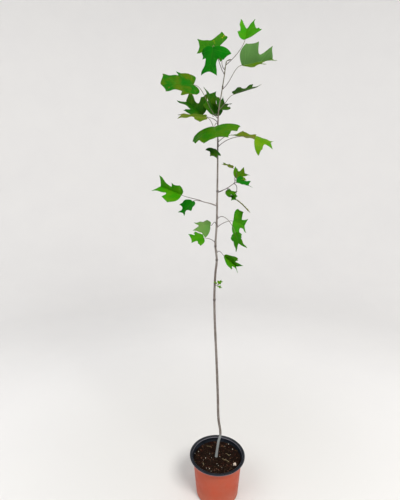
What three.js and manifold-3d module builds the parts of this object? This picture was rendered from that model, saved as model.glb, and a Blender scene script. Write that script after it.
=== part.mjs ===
// A young tulip tree, grown as a single whip in a round nursery pot. Millimetres, +Z up, the front of the
// plant towards -Y. The origin is the middle of the pot's flat underside.
import * as THREE from 'three';
import { mergeVertices } from 'three/addons/utils/BufferGeometryUtils.js';
import Module from 'manifold-3d';

const wasm = await Module();
wasm.setup();

// Clearance between two pieces that touch on the real plant
const GAP = 0.3;

// The pot
const POT_HEIGHT = 157;
const FOOT_RADIUS = 82;
const FOOT_ROUND = 7;
const NECK_RADIUS = 94.5;
const COLLAR_HEIGHT = 15;
const COLLAR_STEP = 4.5;
const RIM_RADIUS = 108;
const RIM_DROP = 4;
const WALL = 2;
const FLOOR = 4;
const POT_SIDES = 36;

// The compost, slightly heaped round the trunk
const COMPOST_TOP = 146;
const COMPOST_FALL = 4;
const HEAP_RADIUS = 24;

// The trunk: where it stands on the compost, its height, and its thickness
const TRUNK_FOOT_RIGHT = -4;
const TRUNK_TOP = 1638;
const TRUNK_RADIUS_FOOT = 4.8;
const TRUNK_RADIUS_TOP = 1.3;
const TAPER_POWER = 2.2;
const FLARE = 1.2;
const FLARE_HEIGHT = 12;
const TRUNK_SIDES = 10;
const RING_SPACING = 34;

// The trunk's sway: how far it stands to the right of its foot at each height
const SWAY_RIGHT = [
  [146, 0], [205, 8], [241, 16], [305, 8], [400, 5], [530, 0], [700, -8], [800, -10], [880, -7], [936, -2],
  [988, -7], [1070, -3], [1260, -1], [1465, 1], [1530, 11], [1600, 22], [1640, 27],
];
const SWAY_BACK = 5;
const SWAY_BACK_WAVE = 260;

// Old leaf scars, which ring the trunk
const SCARS = [783, 936, 988, 1190, 1555];
const SCAR_SWELL = 0.9;
const SCAR_HEIGHT = 3.5;

// The end bud, which leans out from the trunk's tip
const BUD_REACH = 19;
const BUD_RISE = 9;
const BUD_RADIUS = 2.2;

// Leaf stalks and blades
const STALK_RADIUS_FOOT = 1.7;
const STALK_RADIUS = 1.1;
const MIDRIB_RADIUS = 0.5;
const STALK_BASE = 3;
const STALK_STEPS = 5;
const STALK_SIDES = 5;
const MIDRIB_REACH = 0.16;
const BLADE_THICKNESS = 1.3;
const BLADE_SLENDERNESS = 90;
const LATERAL_LOBE = 0.62;
const LOBE_FADES = [0.3, 0.8];
const LOBE_VARIATION = 0.04;
const LEAF_SEED = 11;

// A blade's edge for a blade one long, as places (across, along): the tip of its side lobe, the tooth above
// it, the waist, the tip of its upper lobe and, on the midrib, the notch between the two upper lobes
const OUTLINE = {
  side: [0.6, 0.24], tooth: [0.46, 0.42], waist: [0.27, 0.52], upper: [0.38, 0.98], notch: 0.84,
};

const COLOURS = {
  pot: { color: 0xc85f41, roughness: 0.55, metalness: 0 },
  compost: { color: 0x2b1c14, roughness: 0.95, metalness: 0 },
  bark: { color: 0x6f5a50, roughness: 0.8, metalness: 0 },
  youngBark: { color: 0x5d4a35, roughness: 0.7, metalness: 0 },
  leaf: { color: 0x3d8f1f, roughness: 0.5, metalness: 0 },
};

// Every leaf that grows on the trunk: the height its stalk leaves from, where its blade starts (right of
// the trunk's foot, back, up), the blade's length, how the blade lies (degrees that it points round from
// the right, its rise and its roll), its form (degrees of fold along the midrib, droop and cupping) and,
// where they differ, how far its right and left side lobes reach and the places of its outline.
const TRUNK_LEAVES = {
  leaf_top_right: {
    from: 1630, start: [93, 11, 1717], blade: 86, lie: [72, 57, -8], form: [32, 0, 10], lobes: [1.25, 0.65],
    outline: { tooth: [0.5, 0.35], waist: [0.38, 0.46], upper: [0.34, 1.05], notch: 0.65 },
  },
  leaf_top_back: {
    from: 1614, start: [4, 12, 1694], blade: 88, lie: [178, 2, 78], form: [5, 5, 10],
    outline: { side: [0.45, -0.25], tooth: [0.65, -0.05], waist: [0.25, 0.4], upper: [0.3, 0.9], notch: 0.8 },
  },
  leaf_top_front: {
    from: 1598, start: [-21, -45, 1673], blade: 93, lie: [145, -80, 87], form: [14, 0, 45],
    lobes: [0.8, 1.2], outline: { side: [0.65, 0.2], waist: [0.25, 0.45] },
  },
  leaf_big_right: {
    from: 1548, start: [80, -17, 1623], blade: 124, lie: [7, 13, -73], form: [52, 0, 0], lobes: [1, 0.85],
    outline: { side: [0.65, 0.15], tooth: [0.6, 0.5], waist: [0.2, 0.55], upper: [0.35, 0.9], notch: 0.9 },
  },
  leaf_right_level: {
    from: 1478, start: [57, 17, 1533], blade: 97, lie: [9, 18, -16], form: [15, 0, 1], lobes: [0.85, 1],
    outline: { side: [0.5, 0.35], tooth: [0.45, 0.45], upper: [0.45, 0.95], notch: 0.75 },
  },
  leaf_centre_small: { from: 1466, start: [5, 50, 1488], blade: 70, lie: [55, 35, -50], form: [35, 20, 0] },
  leaf_centre_back: {
    from: 1458, start: [-18, 62, 1470], blade: 98, lie: [120, 80, -20], form: [20, 10, 25],
  },
  leaf_big_left: {
    from: 1448, start: [-86, -34, 1554], blade: 108, lie: [199, 2, 52], form: [15, 13, 25],
    lobes: [0.9, 1],
    outline: { side: [0.5, 0], tooth: [0.55, 0.5], waist: [0.35, 0.5], upper: [0.4, 0.95], notch: 1.05 },
  },
  leaf_left_back: {
    from: 1434, start: [-54, 57, 1469], blade: 111, lie: [140, 35, 48], form: [38, 0, 0], lobes: [0.95, 1],
    outline: { side: [0.65, 0.3], waist: [0.2, 0.45], notch: 0.9 },
  },
  leaf_wide_front: {
    from: 1422, start: [-14, -55, 1410], blade: 120, lie: [271, -35, -18], form: [8, 0, 34],
    lobes: [1.2, 1.1],
    outline: { side: [0.65, 0.15], tooth: [0.55, 0.45], waist: [0.4, 0.5], upper: [0.35, 0.75], notch: 0.6 },
  },
  leaf_left_level: {
    from: 1395, start: [-43, -38, 1445], blade: 101, lie: [186, 8, 20], form: [10, 16, 32],
  },
  leaf_right_short: {
    from: 1366, start: [51, 22, 1391], blade: 92, lie: [350, -4, -21], form: [12, 12, 6], lobes: [0.6, 1.1],
    outline: { side: [0.1, 0.3], tooth: [0.5, 0.4], waist: [0.3, 0.6], upper: [0.35, 0.95], notch: 0.95 },
  },
  leaf_right_hanging: {
    from: 1350, start: [125, -58, 1373], blade: 78, lie: [356, -16, -35], form: [0, 7, 48],
    lobes: [1.2, 1], outline: { side: [0.7, 0.35], waist: [0.2, 0.5], upper: [0.35, 0.85], notch: 0.7 },
  },
  leaf_small_front: {
    from: 1332, start: [-13, -24, 1338], blade: 48, lie: [265, -39, 27], form: [0, 6, 32], lobes: [1.1, 1],
    outline: { side: [0.65, 0.25], waist: [0.3, 0.55], upper: [0.3, 0.95] },
  },
  leaf_hanging_right: {
    from: 1092, start: [63, -34, 1040], blade: 63, lie: [302, -68, -88], form: [10, 21, 22],
    outline: { side: [0.5, 0.2], tooth: [0.45, 0.35], waist: [0.38, 0.5], upper: [0.5, 1], notch: 0.6 },
  },
  leaf_pale_left: {
    from: 1072, start: [-26, 28, 1060], blade: 63, lie: [168, -3, 46], form: [0, 0, 40], lobes: [1, 1.15],
    outline: { side: [0.65, 0.3], tooth: [0.5, 0.45], waist: [0.4, 0.55], upper: [0.3, 1.05], notch: 0.7 },
  },
  leaf_face_right: {
    from: 1060, start: [57, 4, 1080], blade: 82, lie: [36, -18, -84], form: [23, 16, 10],
    outline: { side: [0.6, 0], tooth: [0.55, 0.35], waist: [0.2, 0.5], upper: [0.35, 0.9], notch: 0.85 },
  },
  leaf_bright_left: {
    from: 1004, start: [-51, -36, 1024], blade: 60, lie: [208, 7, 41], form: [5, 10, 37],
    lobes: [1.1, 0.9],
    outline: { side: [0.6, 0.35], tooth: [0.45, 0.5], waist: [0.25, 0.55], upper: [0.35, 0.9] },
  },
  leaf_low_right: {
    from: 966, start: [24, -11, 954], blade: 82, lie: [18, -40, -88], form: [55, 23, 0], lobes: [1, 0.85],
    outline: { side: [0.55, 0.4], tooth: [0.45, 0.5], waist: [0.2, 0.6], upper: [0.35, 0.95], notch: 0.9 },
  },
};

// The side shoots: the height they leave from, how far their tips stand from there (right, back, up),
// their thickness, and the leaves that the spray beyond the tip carries, each given as above from its
// place on the stem.
const SIDE_SHOOTS = {
  right: {
    from: 1187, tip: [23, -5, 8], radius: [2.2, 1.5], stem: [[12, -3, 6], [35, -4, 22]],
    leaves: [
      {
        on: 1, start: [41, 13, 44], blade: 59, lie: [39, 18, -53], form: [30, 4, 0],
        outline: { side: [0.65, 0.3], waist: [0.25, 0.5], notch: 0.9 },
      },
      {
        on: 1, start: [44, -12, 26], blade: 56, lie: [14, -12, -36], form: [34, 7, 8],
        outline: { side: [0.55, 0.3] },
      },
      {
        on: 0, start: [6, -10, -9], blade: 43, lie: [354, -2, -32], form: [7, 15, 21],
        outline: { side: [0.6, 0.35], notch: 0.8 },
      },
      { on: 0, start: [33, -3, -20], blade: 26, lie: [273, -39, -3], form: [14, 12, 22] },
      { on: 1, start: [34, 29, 79], blade: 43, lie: [174, 25, 15], form: [15, 12, 22] },
      { on: 1, start: [50, 22, -40], blade: 66, lie: [342, -35, 10], form: [15, 18, 28] },
    ],
  },
  left: {
    from: 1138, tip: [-47, -8, 13], radius: [2.2, 1.5], stem: [[-8, -1, 3], [-16, -2, 7]],
    leaves: [
      {
        on: 1, start: [-80, -21, 26], blade: 106, lie: [155, 20, 67], form: [40, 10, 0],
        lobes: [0.55, 1.15],
        outline: { side: [0.55, 0.15], tooth: [0.45, 0.45], waist: [0.2, 0.5], notch: 0.9 },
      },
      {
        on: 0, start: [-41, -12, 3], blade: 66, lie: [205, -39, 17], form: [13, 19, 15],
        lobes: [1.1, 1],
        outline: { side: [0.5, 0.25], tooth: [0.55, 0.55], waist: [0.2, 0.65], upper: [0.3, 0.95] },
      },
    ],
  },
};

// A sprig of new leaflets low on the trunk
const SPRIG = {
  from: 838, stem: [[6, -4, 3], [9, -6, 6]],
  leaves: [
    { on: 1, start: [9, -5, 10], blade: 18, lie: [20, 30, -30], form: [20, 10, 10] },
    { on: 1, start: [3, -9, 9], blade: 15, lie: [200, 40, 20], form: [20, 10, 10] },
    { on: 0, start: [9, -11, 1], blade: 16, lie: [300, -10, 0], form: [20, 10, 10] },
  ],
};

const radians = THREE.MathUtils.degToRad;
const vector = (xyz) => new THREE.Vector3(...xyz);

// Small differences between leaves come from one seeded sequence
function seededSequence(seed) {
  let state = seed;
  return () => {
    state = (state * 16807) % 2147483647;
    return state / 2147483647;
  };
}
const chance = seededSequence(LEAF_SEED);
const vary = (amount) => 1 + amount * (2 * chance() - 1);

// A smooth value through [height, value] pairs
function through(pairs, height) {
  const last = pairs.length - 1;
  let i = 0;
  while (i < last - 1 && height > pairs[i + 1][0]) i += 1;
  const slope = (k) => {
    const below = pairs[Math.max(k - 1, 0)];
    const above = pairs[Math.min(k + 1, last)];
    return (above[1] - below[1]) / (above[0] - below[0]);
  };
  const span = pairs[i + 1][0] - pairs[i][0];
  const t = THREE.MathUtils.clamp((height - pairs[i][0]) / span, 0, 1);
  const [t2, t3] = [t * t, t * t * t];
  return (2 * t3 - 3 * t2 + 1) * pairs[i][1] + (t3 - 2 * t2 + t) * span * slope(i)
    + (3 * t2 - 2 * t3) * pairs[i + 1][1] + (t3 - t2) * span * slope(i + 1);
}

// The trunk's middle and its radius at a height
const TRUNK_BASE = COMPOST_TOP + GAP;
function trunkAt(height) {
  const right = TRUNK_FOOT_RIGHT + through(SWAY_RIGHT, height);
  const back = SWAY_BACK * Math.sin((height - TRUNK_BASE) / SWAY_BACK_WAVE);
  return new THREE.Vector3(right, back, height);
}
function trunkRadius(height) {
  const share = THREE.MathUtils.clamp((height - TRUNK_BASE) / (TRUNK_TOP - TRUNK_BASE), 0, 1);
  let radius = TRUNK_RADIUS_TOP + (TRUNK_RADIUS_FOOT - TRUNK_RADIUS_TOP) * (1 - share ** TAPER_POWER);
  radius += FLARE * Math.exp(-(height - TRUNK_BASE) / FLARE_HEIGHT);
  for (const scar of SCARS) {
    radius += SCAR_SWELL * Math.exp(-(((height - scar) / SCAR_HEIGHT) ** 2));
  }
  return radius;
}

// A closed tapering limb: a ring of corners round each point, and a flat cap on each end. With a level
// foot the first ring lies flat, as a cut at ground level does.
function limb(points, radii, sides, levelFoot = false) {
  const corners = [];
  const faces = [];
  const last = points.length - 1;
  let side = new THREE.Vector3(1, 0, 0);
  points.forEach((point, i) => {
    const ahead = points[Math.min(i + 1, last)];
    const behind = points[Math.max(i - 1, 0)];
    const along = ahead.clone().sub(behind).normalize();
    if (levelFoot && i === 0) along.set(0, 0, 1);
    if (i === 0 && Math.abs(along.x) > 0.9) side.set(0, 1, 0);
    side = side.clone().addScaledVector(along, -side.dot(along)).normalize();
    const up = along.clone().cross(side);
    for (let k = 0; k < sides; k += 1) {
      const turn = (2 * Math.PI * k) / sides;
      const corner = point.clone();
      corner.addScaledVector(side, radii[i] * Math.cos(turn));
      corner.addScaledVector(up, radii[i] * Math.sin(turn));
      corners.push(corner);
    }
  });
  for (let i = 0; i < last; i += 1) {
    for (let k = 0; k < sides; k += 1) {
      const next = (k + 1) % sides;
      const [a, b, c, d] = [i * sides + k, i * sides + next, (i + 1) * sides + next, (i + 1) * sides + k];
      faces.push([a, b, c], [a, c, d]);
    }
  }
  corners.push(points[0], points[last]);
  const [footCentre, tipCentre] = [corners.length - 2, corners.length - 1];
  for (let k = 0; k < sides; k += 1) {
    const next = (k + 1) % sides;
    faces.push([footCentre, next, k], [tipCentre, last * sides + k, last * sides + next]);
  }
  return solidFrom(corners, faces);
}

function solidFrom(corners, faces) {
  const geometry = new THREE.BufferGeometry();
  geometry.setAttribute('position', new THREE.Float32BufferAttribute(corners.flatMap((c) => c.toArray()), 3));
  geometry.setIndex(faces.flat());
  return geometry;
}

// Length along and rise across of an arc that starts at one angle and turns evenly
function arc(startAngle, turn, distance, length) {
  const bend = turn / length;
  if (Math.abs(bend) < 1e-9) return [Math.cos(startAngle) * distance, Math.sin(startAngle) * distance];
  const endAngle = startAngle + bend * distance;
  return [
    (Math.sin(endAngle) - Math.sin(startAngle)) / bend,
    (Math.cos(startAngle) - Math.cos(endAngle)) / bend,
  ];
}

// The three directions of a blade at its foot: along the midrib, across to its right, and out of its
// upper face
function bladeDirections([heading, rise, roll]) {
  const [h, p, r] = [radians(heading), radians(rise), radians(roll)];
  const along = new THREE.Vector3(Math.cos(h) * Math.cos(p), Math.sin(h) * Math.cos(p), Math.sin(p));
  const levelSide = new THREE.Vector3(Math.sin(h), -Math.cos(h), 0);
  const levelTop = levelSide.clone().cross(along);
  const across = levelSide.clone().multiplyScalar(Math.cos(r)).addScaledVector(levelTop, Math.sin(r));
  const top = levelTop.clone().multiplyScalar(Math.cos(r)).addScaledVector(levelSide, -Math.sin(r));
  return { along, across, top };
}

// The place and the upward normal of a blade's point, given as shares of the blade's length
function onBlade(leaf, across, along) {
  const [fold, droop, cup] = leaf.form.map(radians);
  const length = leaf.blade;
  const directions = bladeDirections(leaf.lie);
  const [ahead, rise] = arc(0, -droop, along * length, length);
  const turned = -droop * along;
  const top = directions.top.clone().multiplyScalar(Math.cos(turned))
    .addScaledVector(directions.along, -Math.sin(turned));
  const side = Math.sign(across);
  const reach = Math.abs(across) * length;
  const [out, up] = arc(fold, -cup, reach, LATERAL_LOBE * length);
  const tilt = side === 0 ? 0 : fold - (cup * reach) / (LATERAL_LOBE * length);
  const place = leaf.start.clone()
    .addScaledVector(directions.along, ahead).addScaledVector(directions.top, rise)
    .addScaledVector(directions.across, side * out).addScaledVector(top, up);
  const normal = top.clone().multiplyScalar(Math.cos(tilt))
    .addScaledVector(directions.across, -side * Math.sin(tilt));
  return { place, normal };
}

// Half of a blade's edge from its foot to the notch. Each stretch is a curve, the span of midrib that its
// side veins leave from, and its steps.
function halfEdge({ side, tooth, waist, upper, notch }) {
  const from = ([across, along], right, on) => [across + right, along + on];
  const end = [0, notch];
  const stretch = (start, leaving, arriving, stop, veins, steps) => {
    const curve = [start, leaving, arriving, stop].map((point) => new THREE.Vector2(...point));
    return { curve: new THREE.CubicBezierCurve(...curve), veins, steps };
  };
  return [
    stretch([0, 0], [0.45 * side[0], -0.1], from(side, -0.09, -0.2), side, [0, 0.08], 3),
    stretch(side, from(side, -0.06, 0.03), from(tooth, 0.01, -0.08), tooth, [0.08, 0.14], 1),
    stretch(tooth, from(tooth, -0.1, 0), from(waist, 0.02, -0.12), waist, [0.14, 0.28], 2),
    stretch(waist, from(waist, -0.01, 0.14), from(upper, -0.03, -0.16), upper, [0.28, 0.56], 2),
    stretch(upper, [0.7 * upper[0], upper[1] - 0.06], from(end, 0.12, 0.02), end, [0.56, notch], 2),
  ];
}

// The side veins of half a blade: each runs from the midrib to a point of the edge
function sideVeins(outline, lobeReach) {
  const veins = [{ foot: 0, edge: [0, 0] }];
  for (const { curve, veins: span, steps } of halfEdge(outline)) {
    for (let i = 1; i <= steps; i += 1) {
      const share = i / steps;
      const point = curve.getPoint(share);
      const upper = THREE.MathUtils.smoothstep(point.y, ...LOBE_FADES);
      veins.push({
        foot: THREE.MathUtils.lerp(...span, share),
        edge: [point.x * THREE.MathUtils.lerp(lobeReach, 1, upper), point.y],
      });
    }
  }
  return veins;
}

// A blade as a thin closed solid: corners along the midrib, halfway out and at the edge of each half
function bladeSolid(leaf) {
  const nodes = [];
  const sheet = [];
  const addNode = (across, along) => nodes.push(onBlade(leaf, across, along)) - 1;
  const [rightLobe, leftLobe] = leaf.lobes ?? [1, 1];
  const outline = { ...OUTLINE, ...leaf.outline };
  const right = sideVeins(outline, rightLobe * vary(LOBE_VARIATION));
  const left = sideVeins(outline, leftLobe * vary(LOBE_VARIATION));
  const last = right.length - 1;
  const midrib = right.map((vein) => addNode(0, vein.foot));
  const edges = [right, left].map((veins, half) => {
    const side = half === 0 ? 1 : -1;
    const middle = veins.map((vein, i) => {
      if (i === 0 || i === last) return midrib[i];
      return addNode((side * vein.edge[0]) / 2, (vein.foot + vein.edge[1]) / 2);
    });
    const edge = veins.map((vein, i) => {
      if (i === 0 || i === last) return midrib[i];
      return addNode(side * vein.edge[0], vein.edge[1]);
    });
    for (const [inner, outer] of [[midrib, middle], [middle, edge]]) {
      for (let i = 0; i < last; i += 1) {
        const quad = [inner[i], outer[i], outer[i + 1], inner[i + 1]];
        const triangles = [[quad[0], quad[1], quad[2]], [quad[0], quad[2], quad[3]]];
        for (const triangle of triangles) {
          if (new Set(triangle).size === 3) sheet.push(side > 0 ? triangle : triangle.reverse());
        }
      }
    }
    return edge;
  });
  const half = Math.max(BLADE_THICKNESS, leaf.blade / BLADE_SLENDERNESS) / 2;
  const count = nodes.length;
  const corners = [
    ...nodes.map((node) => node.place.clone().addScaledVector(node.normal, half)),
    ...nodes.map((node) => node.place.clone().addScaledVector(node.normal, -half)),
  ];
  const faces = [...sheet, ...sheet.map(([a, b, c]) => [a + count, c + count, b + count])];
  const rim = [...edges[0], ...edges[1].slice(1, -1).reverse()];
  rim.forEach((a, i) => {
    const b = rim[(i + 1) % rim.length];
    faces.push([a + count, b + count, b], [a + count, b, a]);
  });
  return solidFrom(corners, faces);
}

// A leaf's stalk: a short swollen base, then a smooth bend to the blade, running on under the blade as
// its midrib
function stalkSolid(leaf, foot, leaving) {
  const { along } = bladeDirections(leaf.lie);
  const base = foot.clone().addScaledVector(leaving, STALK_BASE);
  const distance = base.distanceTo(leaf.start);
  const bend = new THREE.CubicBezierCurve3(
    base,
    base.clone().addScaledVector(leaving, distance * 0.38),
    leaf.start.clone().addScaledVector(along, -distance * 0.3),
    leaf.start,
  );
  const points = [foot, ...bend.getPoints(STALK_STEPS)];
  const radii = points.map((point, i) => (i === 0 ? STALK_RADIUS_FOOT : STALK_RADIUS));
  points.push(onBlade(leaf, 0, MIDRIB_REACH).place);
  radii.push(MIDRIB_RADIUS);
  return limb(points, radii, STALK_SIDES);
}

// Closed geometry to a solid that can be joined, and back
function toSolid(geometry) {
  const bare = geometry.clone();
  bare.deleteAttribute('normal');
  bare.deleteAttribute('uv');
  const welded = mergeVertices(bare, 1e-5);
  return new wasm.Manifold(new wasm.Mesh({
    numProp: 3,
    vertProperties: new Float32Array(welded.attributes.position.array),
    triVerts: new Uint32Array(welded.index.array),
  }));
}

function join(geometries) {
  const joined = geometries.map(toSolid).reduce((all, next) => all.add(next)).getMesh();
  const geometry = new THREE.BufferGeometry();
  geometry.setAttribute('position', new THREE.BufferAttribute(joined.vertProperties, 3));
  geometry.setIndex(new THREE.BufferAttribute(joined.triVerts, 1));
  return geometry;
}

const plant = new THREE.Group();
function addPiece(name, geometry, finish) {
  const mesh = new THREE.Mesh(geometry, new THREE.MeshStandardMaterial(finish));
  mesh.name = name;
  plant.add(mesh);
}

// The pot: a thin wall with a rounded foot, a collar under the rim and a flat lip turned down at its edge
function potGeometry() {
  const collarFoot = POT_HEIGHT - COLLAR_HEIGHT;
  const collarRadius = NECK_RADIUS + COLLAR_STEP;
  const profile = [
    [0, 0], [FOOT_RADIUS - FOOT_ROUND, 0],
    ...roundFoot(FOOT_RADIUS, FOOT_ROUND, 0),
    [NECK_RADIUS, collarFoot - COLLAR_STEP], [collarRadius, collarFoot],
    [collarRadius + 1, POT_HEIGHT - RIM_DROP], [RIM_RADIUS - 1, POT_HEIGHT - RIM_DROP],
    [RIM_RADIUS, POT_HEIGHT - RIM_DROP / 2], [RIM_RADIUS - 1.5, POT_HEIGHT],
    [collarRadius, POT_HEIGHT], [collarRadius - WALL, POT_HEIGHT - WALL],
    [collarRadius - WALL - 0.5, collarFoot + 1], [NECK_RADIUS - WALL, collarFoot - COLLAR_STEP],
    ...roundFoot(FOOT_RADIUS - WALL, FOOT_ROUND - WALL, FLOOR).reverse(),
    [FOOT_RADIUS - FOOT_ROUND, FLOOR], [0, FLOOR],
  ];
  return new THREE.LatheGeometry(profile.map(([r, z]) => new THREE.Vector2(r, z)), POT_SIDES);
}

// Two points of a quarter round, from the underside to the wall
function roundFoot(radius, round, base) {
  return [45, 90].map((degrees) => {
    const turn = radians(degrees);
    return [radius - round + round * Math.sin(turn), base + round * (1 - Math.cos(turn))];
  });
}

// The compost fills the pot to below its rim, clear of the wall
function compostGeometry() {
  const inside = WALL + GAP;
  const edgeTop = COMPOST_TOP - COMPOST_FALL;
  const wallTop = POT_HEIGHT - COLLAR_HEIGHT - COLLAR_STEP;
  const profile = [
    [0, FLOOR + GAP], [FOOT_RADIUS - FOOT_ROUND - GAP, FLOOR + GAP],
    ...roundFoot(FOOT_RADIUS - inside, FOOT_ROUND - inside, FLOOR + GAP),
    [NECK_RADIUS - inside, wallTop], [NECK_RADIUS - inside, edgeTop - 2],
    [NECK_RADIUS - inside - 6, edgeTop], [(NECK_RADIUS + HEAP_RADIUS) / 2, edgeTop + COMPOST_FALL / 2],
    [HEAP_RADIUS, COMPOST_TOP], [0, COMPOST_TOP],
  ];
  return new THREE.LatheGeometry(profile.map(([r, z]) => new THREE.Vector2(r, z)), POT_SIDES);
}

// LatheGeometry turns about +Y, so pot and compost are stood up along +Z
function standUp(geometry) {
  const turned = geometry.clone().rotateX(Math.PI / 2);
  return join([turned]);
}

// The trunk: rings at even steps and round each scar, then the end bud
function trunkGeometry() {
  const heights = [TRUNK_BASE, TRUNK_BASE + 5, TRUNK_BASE + 14];
  for (let height = TRUNK_BASE + RING_SPACING; height < TRUNK_TOP; height += RING_SPACING) {
    if (SCARS.every((scar) => Math.abs(scar - height) > 2.5 * SCAR_HEIGHT)) heights.push(height);
  }
  for (const scar of SCARS) {
    heights.push(scar - 2 * SCAR_HEIGHT, scar, scar + 2 * SCAR_HEIGHT);
  }
  heights.push(TRUNK_TOP);
  heights.sort((a, b) => a - b);
  const points = heights.map(trunkAt);
  const radii = heights.map(trunkRadius);
  const tip = trunkAt(TRUNK_TOP);
  for (const [share, radius] of [[0.35, 1.4], [0.55, BUD_RADIUS], [0.8, BUD_RADIUS * 0.8], [1, 0.5]]) {
    points.push(new THREE.Vector3(tip.x + BUD_REACH * share, tip.y, tip.z + BUD_RISE * Math.sqrt(share)));
    radii.push(radius);
  }
  return limb(points, radii, TRUNK_SIDES, true);
}

// Where a stalk or shoot stands off the trunk: clear of the bark by the gap, leaning out and up
function offTrunk(height, towards, footRadius, lean) {
  const middle = trunkAt(height);
  const out = new THREE.Vector3(towards.x - middle.x, towards.y - middle.y, 0).normalize();
  const leaving = out.clone().multiplyScalar(Math.cos(lean)).add(new THREE.Vector3(0, 0, Math.sin(lean)));
  const distance = trunkRadius(height) + GAP + footRadius * Math.sin(lean);
  return { foot: middle.addScaledVector(out, distance), leaving };
}

const STALK_LEAN = radians(40);
const SHOOT_LEAN = radians(20);

function trunkLeaf(plan) {
  const leaf = { ...plan, start: vector(plan.start).add(new THREE.Vector3(TRUNK_FOOT_RIGHT, 0, 0)) };
  const { foot, leaving } = offTrunk(leaf.from, leaf.start, STALK_RADIUS_FOOT, STALK_LEAN);
  return join([bladeSolid(leaf), stalkSolid(leaf, foot, leaving)]);
}

// A spray: a short stem from a foot, with leaves branching from its points
function sprayGeometry(foot, leaving, spray, radius) {
  const points = [foot, ...spray.stem.map((offset) => foot.clone().add(vector(offset)))];
  const radii = points.map((point, i) => radius * (1 - (0.3 * i) / points.length));
  const pieces = [limb(points, radii, STALK_SIDES)];
  for (const plan of spray.leaves) {
    const leaf = { ...plan, start: foot.clone().add(vector(plan.start)) };
    const joint = points[plan.on + 1];
    const towards = leaf.start.clone().sub(joint).normalize().add(leaving).normalize();
    pieces.push(bladeSolid(leaf), stalkSolid(leaf, joint.clone().addScaledVector(towards, -0.5), towards));
  }
  return join(pieces);
}

addPiece('pot', standUp(potGeometry()), COLOURS.pot);
addPiece('compost', standUp(compostGeometry()), COLOURS.compost);
addPiece('trunk', trunkGeometry(), COLOURS.bark);

for (const [name, plan] of Object.entries(TRUNK_LEAVES)) {
  addPiece(name, trunkLeaf(plan), COLOURS.leaf);
}

for (const [side, shoot] of Object.entries(SIDE_SHOOTS)) {
  const reach = trunkAt(shoot.from).add(vector(shoot.tip));
  const { foot, leaving } = offTrunk(shoot.from, reach, shoot.radius[0], SHOOT_LEAN);
  const bend = foot.clone().addScaledVector(leaving, foot.distanceTo(reach) / 2);
  const radii = [shoot.radius[0], shoot.radius[0], shoot.radius[1]];
  addPiece(`side_shoot_${side}`, limb([foot, bend, reach], radii, TRUNK_SIDES), COLOURS.youngBark);
  const onward = reach.clone().sub(bend).normalize();
  const sprayFoot = reach.clone().addScaledVector(onward, GAP);
  addPiece(`spray_${side}`, sprayGeometry(sprayFoot, onward, shoot, shoot.radius[1]), COLOURS.leaf);
}

const sprigReach = trunkAt(SPRIG.from).add(vector(SPRIG.stem[1]));
const sprig = offTrunk(SPRIG.from, sprigReach, STALK_RADIUS_FOOT, SHOOT_LEAN);
addPiece('sprig_low', sprayGeometry(sprig.foot, sprig.leaving, SPRIG, STALK_RADIUS), COLOURS.leaf);

export default plant;
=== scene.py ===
"""A young tulip tree in a nursery pot: fine shape, materials, light and camera."""
import math

import bmesh
import bpy
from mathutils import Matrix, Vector, noise


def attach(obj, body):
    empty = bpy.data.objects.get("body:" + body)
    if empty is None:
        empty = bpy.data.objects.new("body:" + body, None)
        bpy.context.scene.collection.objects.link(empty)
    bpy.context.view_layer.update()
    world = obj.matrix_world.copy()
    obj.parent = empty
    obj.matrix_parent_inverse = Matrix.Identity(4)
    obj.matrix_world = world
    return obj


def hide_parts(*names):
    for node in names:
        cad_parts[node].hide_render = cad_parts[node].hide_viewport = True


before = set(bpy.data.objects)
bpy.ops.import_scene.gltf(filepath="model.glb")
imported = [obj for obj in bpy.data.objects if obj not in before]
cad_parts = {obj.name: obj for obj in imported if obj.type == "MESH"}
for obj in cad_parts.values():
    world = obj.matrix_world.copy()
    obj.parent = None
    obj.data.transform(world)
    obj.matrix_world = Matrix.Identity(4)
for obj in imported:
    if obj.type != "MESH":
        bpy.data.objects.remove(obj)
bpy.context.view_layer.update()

# Shapes are worked out in millimetres and made in metres
MM = 0.001

# The camera, as the photograph was taken
CAMERA_PLACE = (-0.068, -1.340, 1.239)
CAMERA_PITCH_DOWN = math.radians(6.57)
CAMERA_LENS = 26.57
CAMERA_SENSOR = 36
CAMERA_SHIFT_UP = -0.06

# Clearance between two pieces that touch on the real plant
GAP = 0.3

# The pot
POT_HEIGHT = 157
FOOT_RADIUS = 82
FOOT_ROUND = 7
NECK_RADIUS = 94.5
COLLAR_HEIGHT = 15
COLLAR_STEP = 4.5
RIM_RADIUS = 108
RIM_DROP = 4
WALL = 2
FLOOR = 4

# The compost, slightly heaped round the trunk
COMPOST_TOP = 146
COMPOST_FALL = 4
HEAP_RADIUS = 24
COMPOST_RADIUS = NECK_RADIUS - WALL - GAP

# The trunk: where it stands on the compost, its height, and its thickness
TRUNK_FOOT_RIGHT = -4
TRUNK_TOP = 1638
TRUNK_RADIUS_FOOT = 4.8
TRUNK_RADIUS_TOP = 1.3
TAPER_POWER = 2.2
FLARE = 1.2
FLARE_HEIGHT = 12

# The trunk's sway: how far it stands to the right of its foot at each height
SWAY_RIGHT = [
    [146, 0], [205, 8], [241, 16], [305, 8], [400, 5], [530, 0], [700, -8], [800, -10], [880, -7],
    [936, -2], [988, -7], [1070, -3], [1260, -1], [1465, 1], [1530, 11], [1600, 22], [1640, 27],
]
SWAY_BACK = 5
SWAY_BACK_WAVE = 260

# Old leaf scars, which ring the trunk
SCARS = [783, 936, 988, 1190, 1555]
SCAR_SWELL = 0.9
SCAR_HEIGHT = 3.5

# The end bud, which leans out from the trunk's tip
BUD_REACH = 19
BUD_RISE = 9
BUD_RADIUS = 2.2

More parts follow.
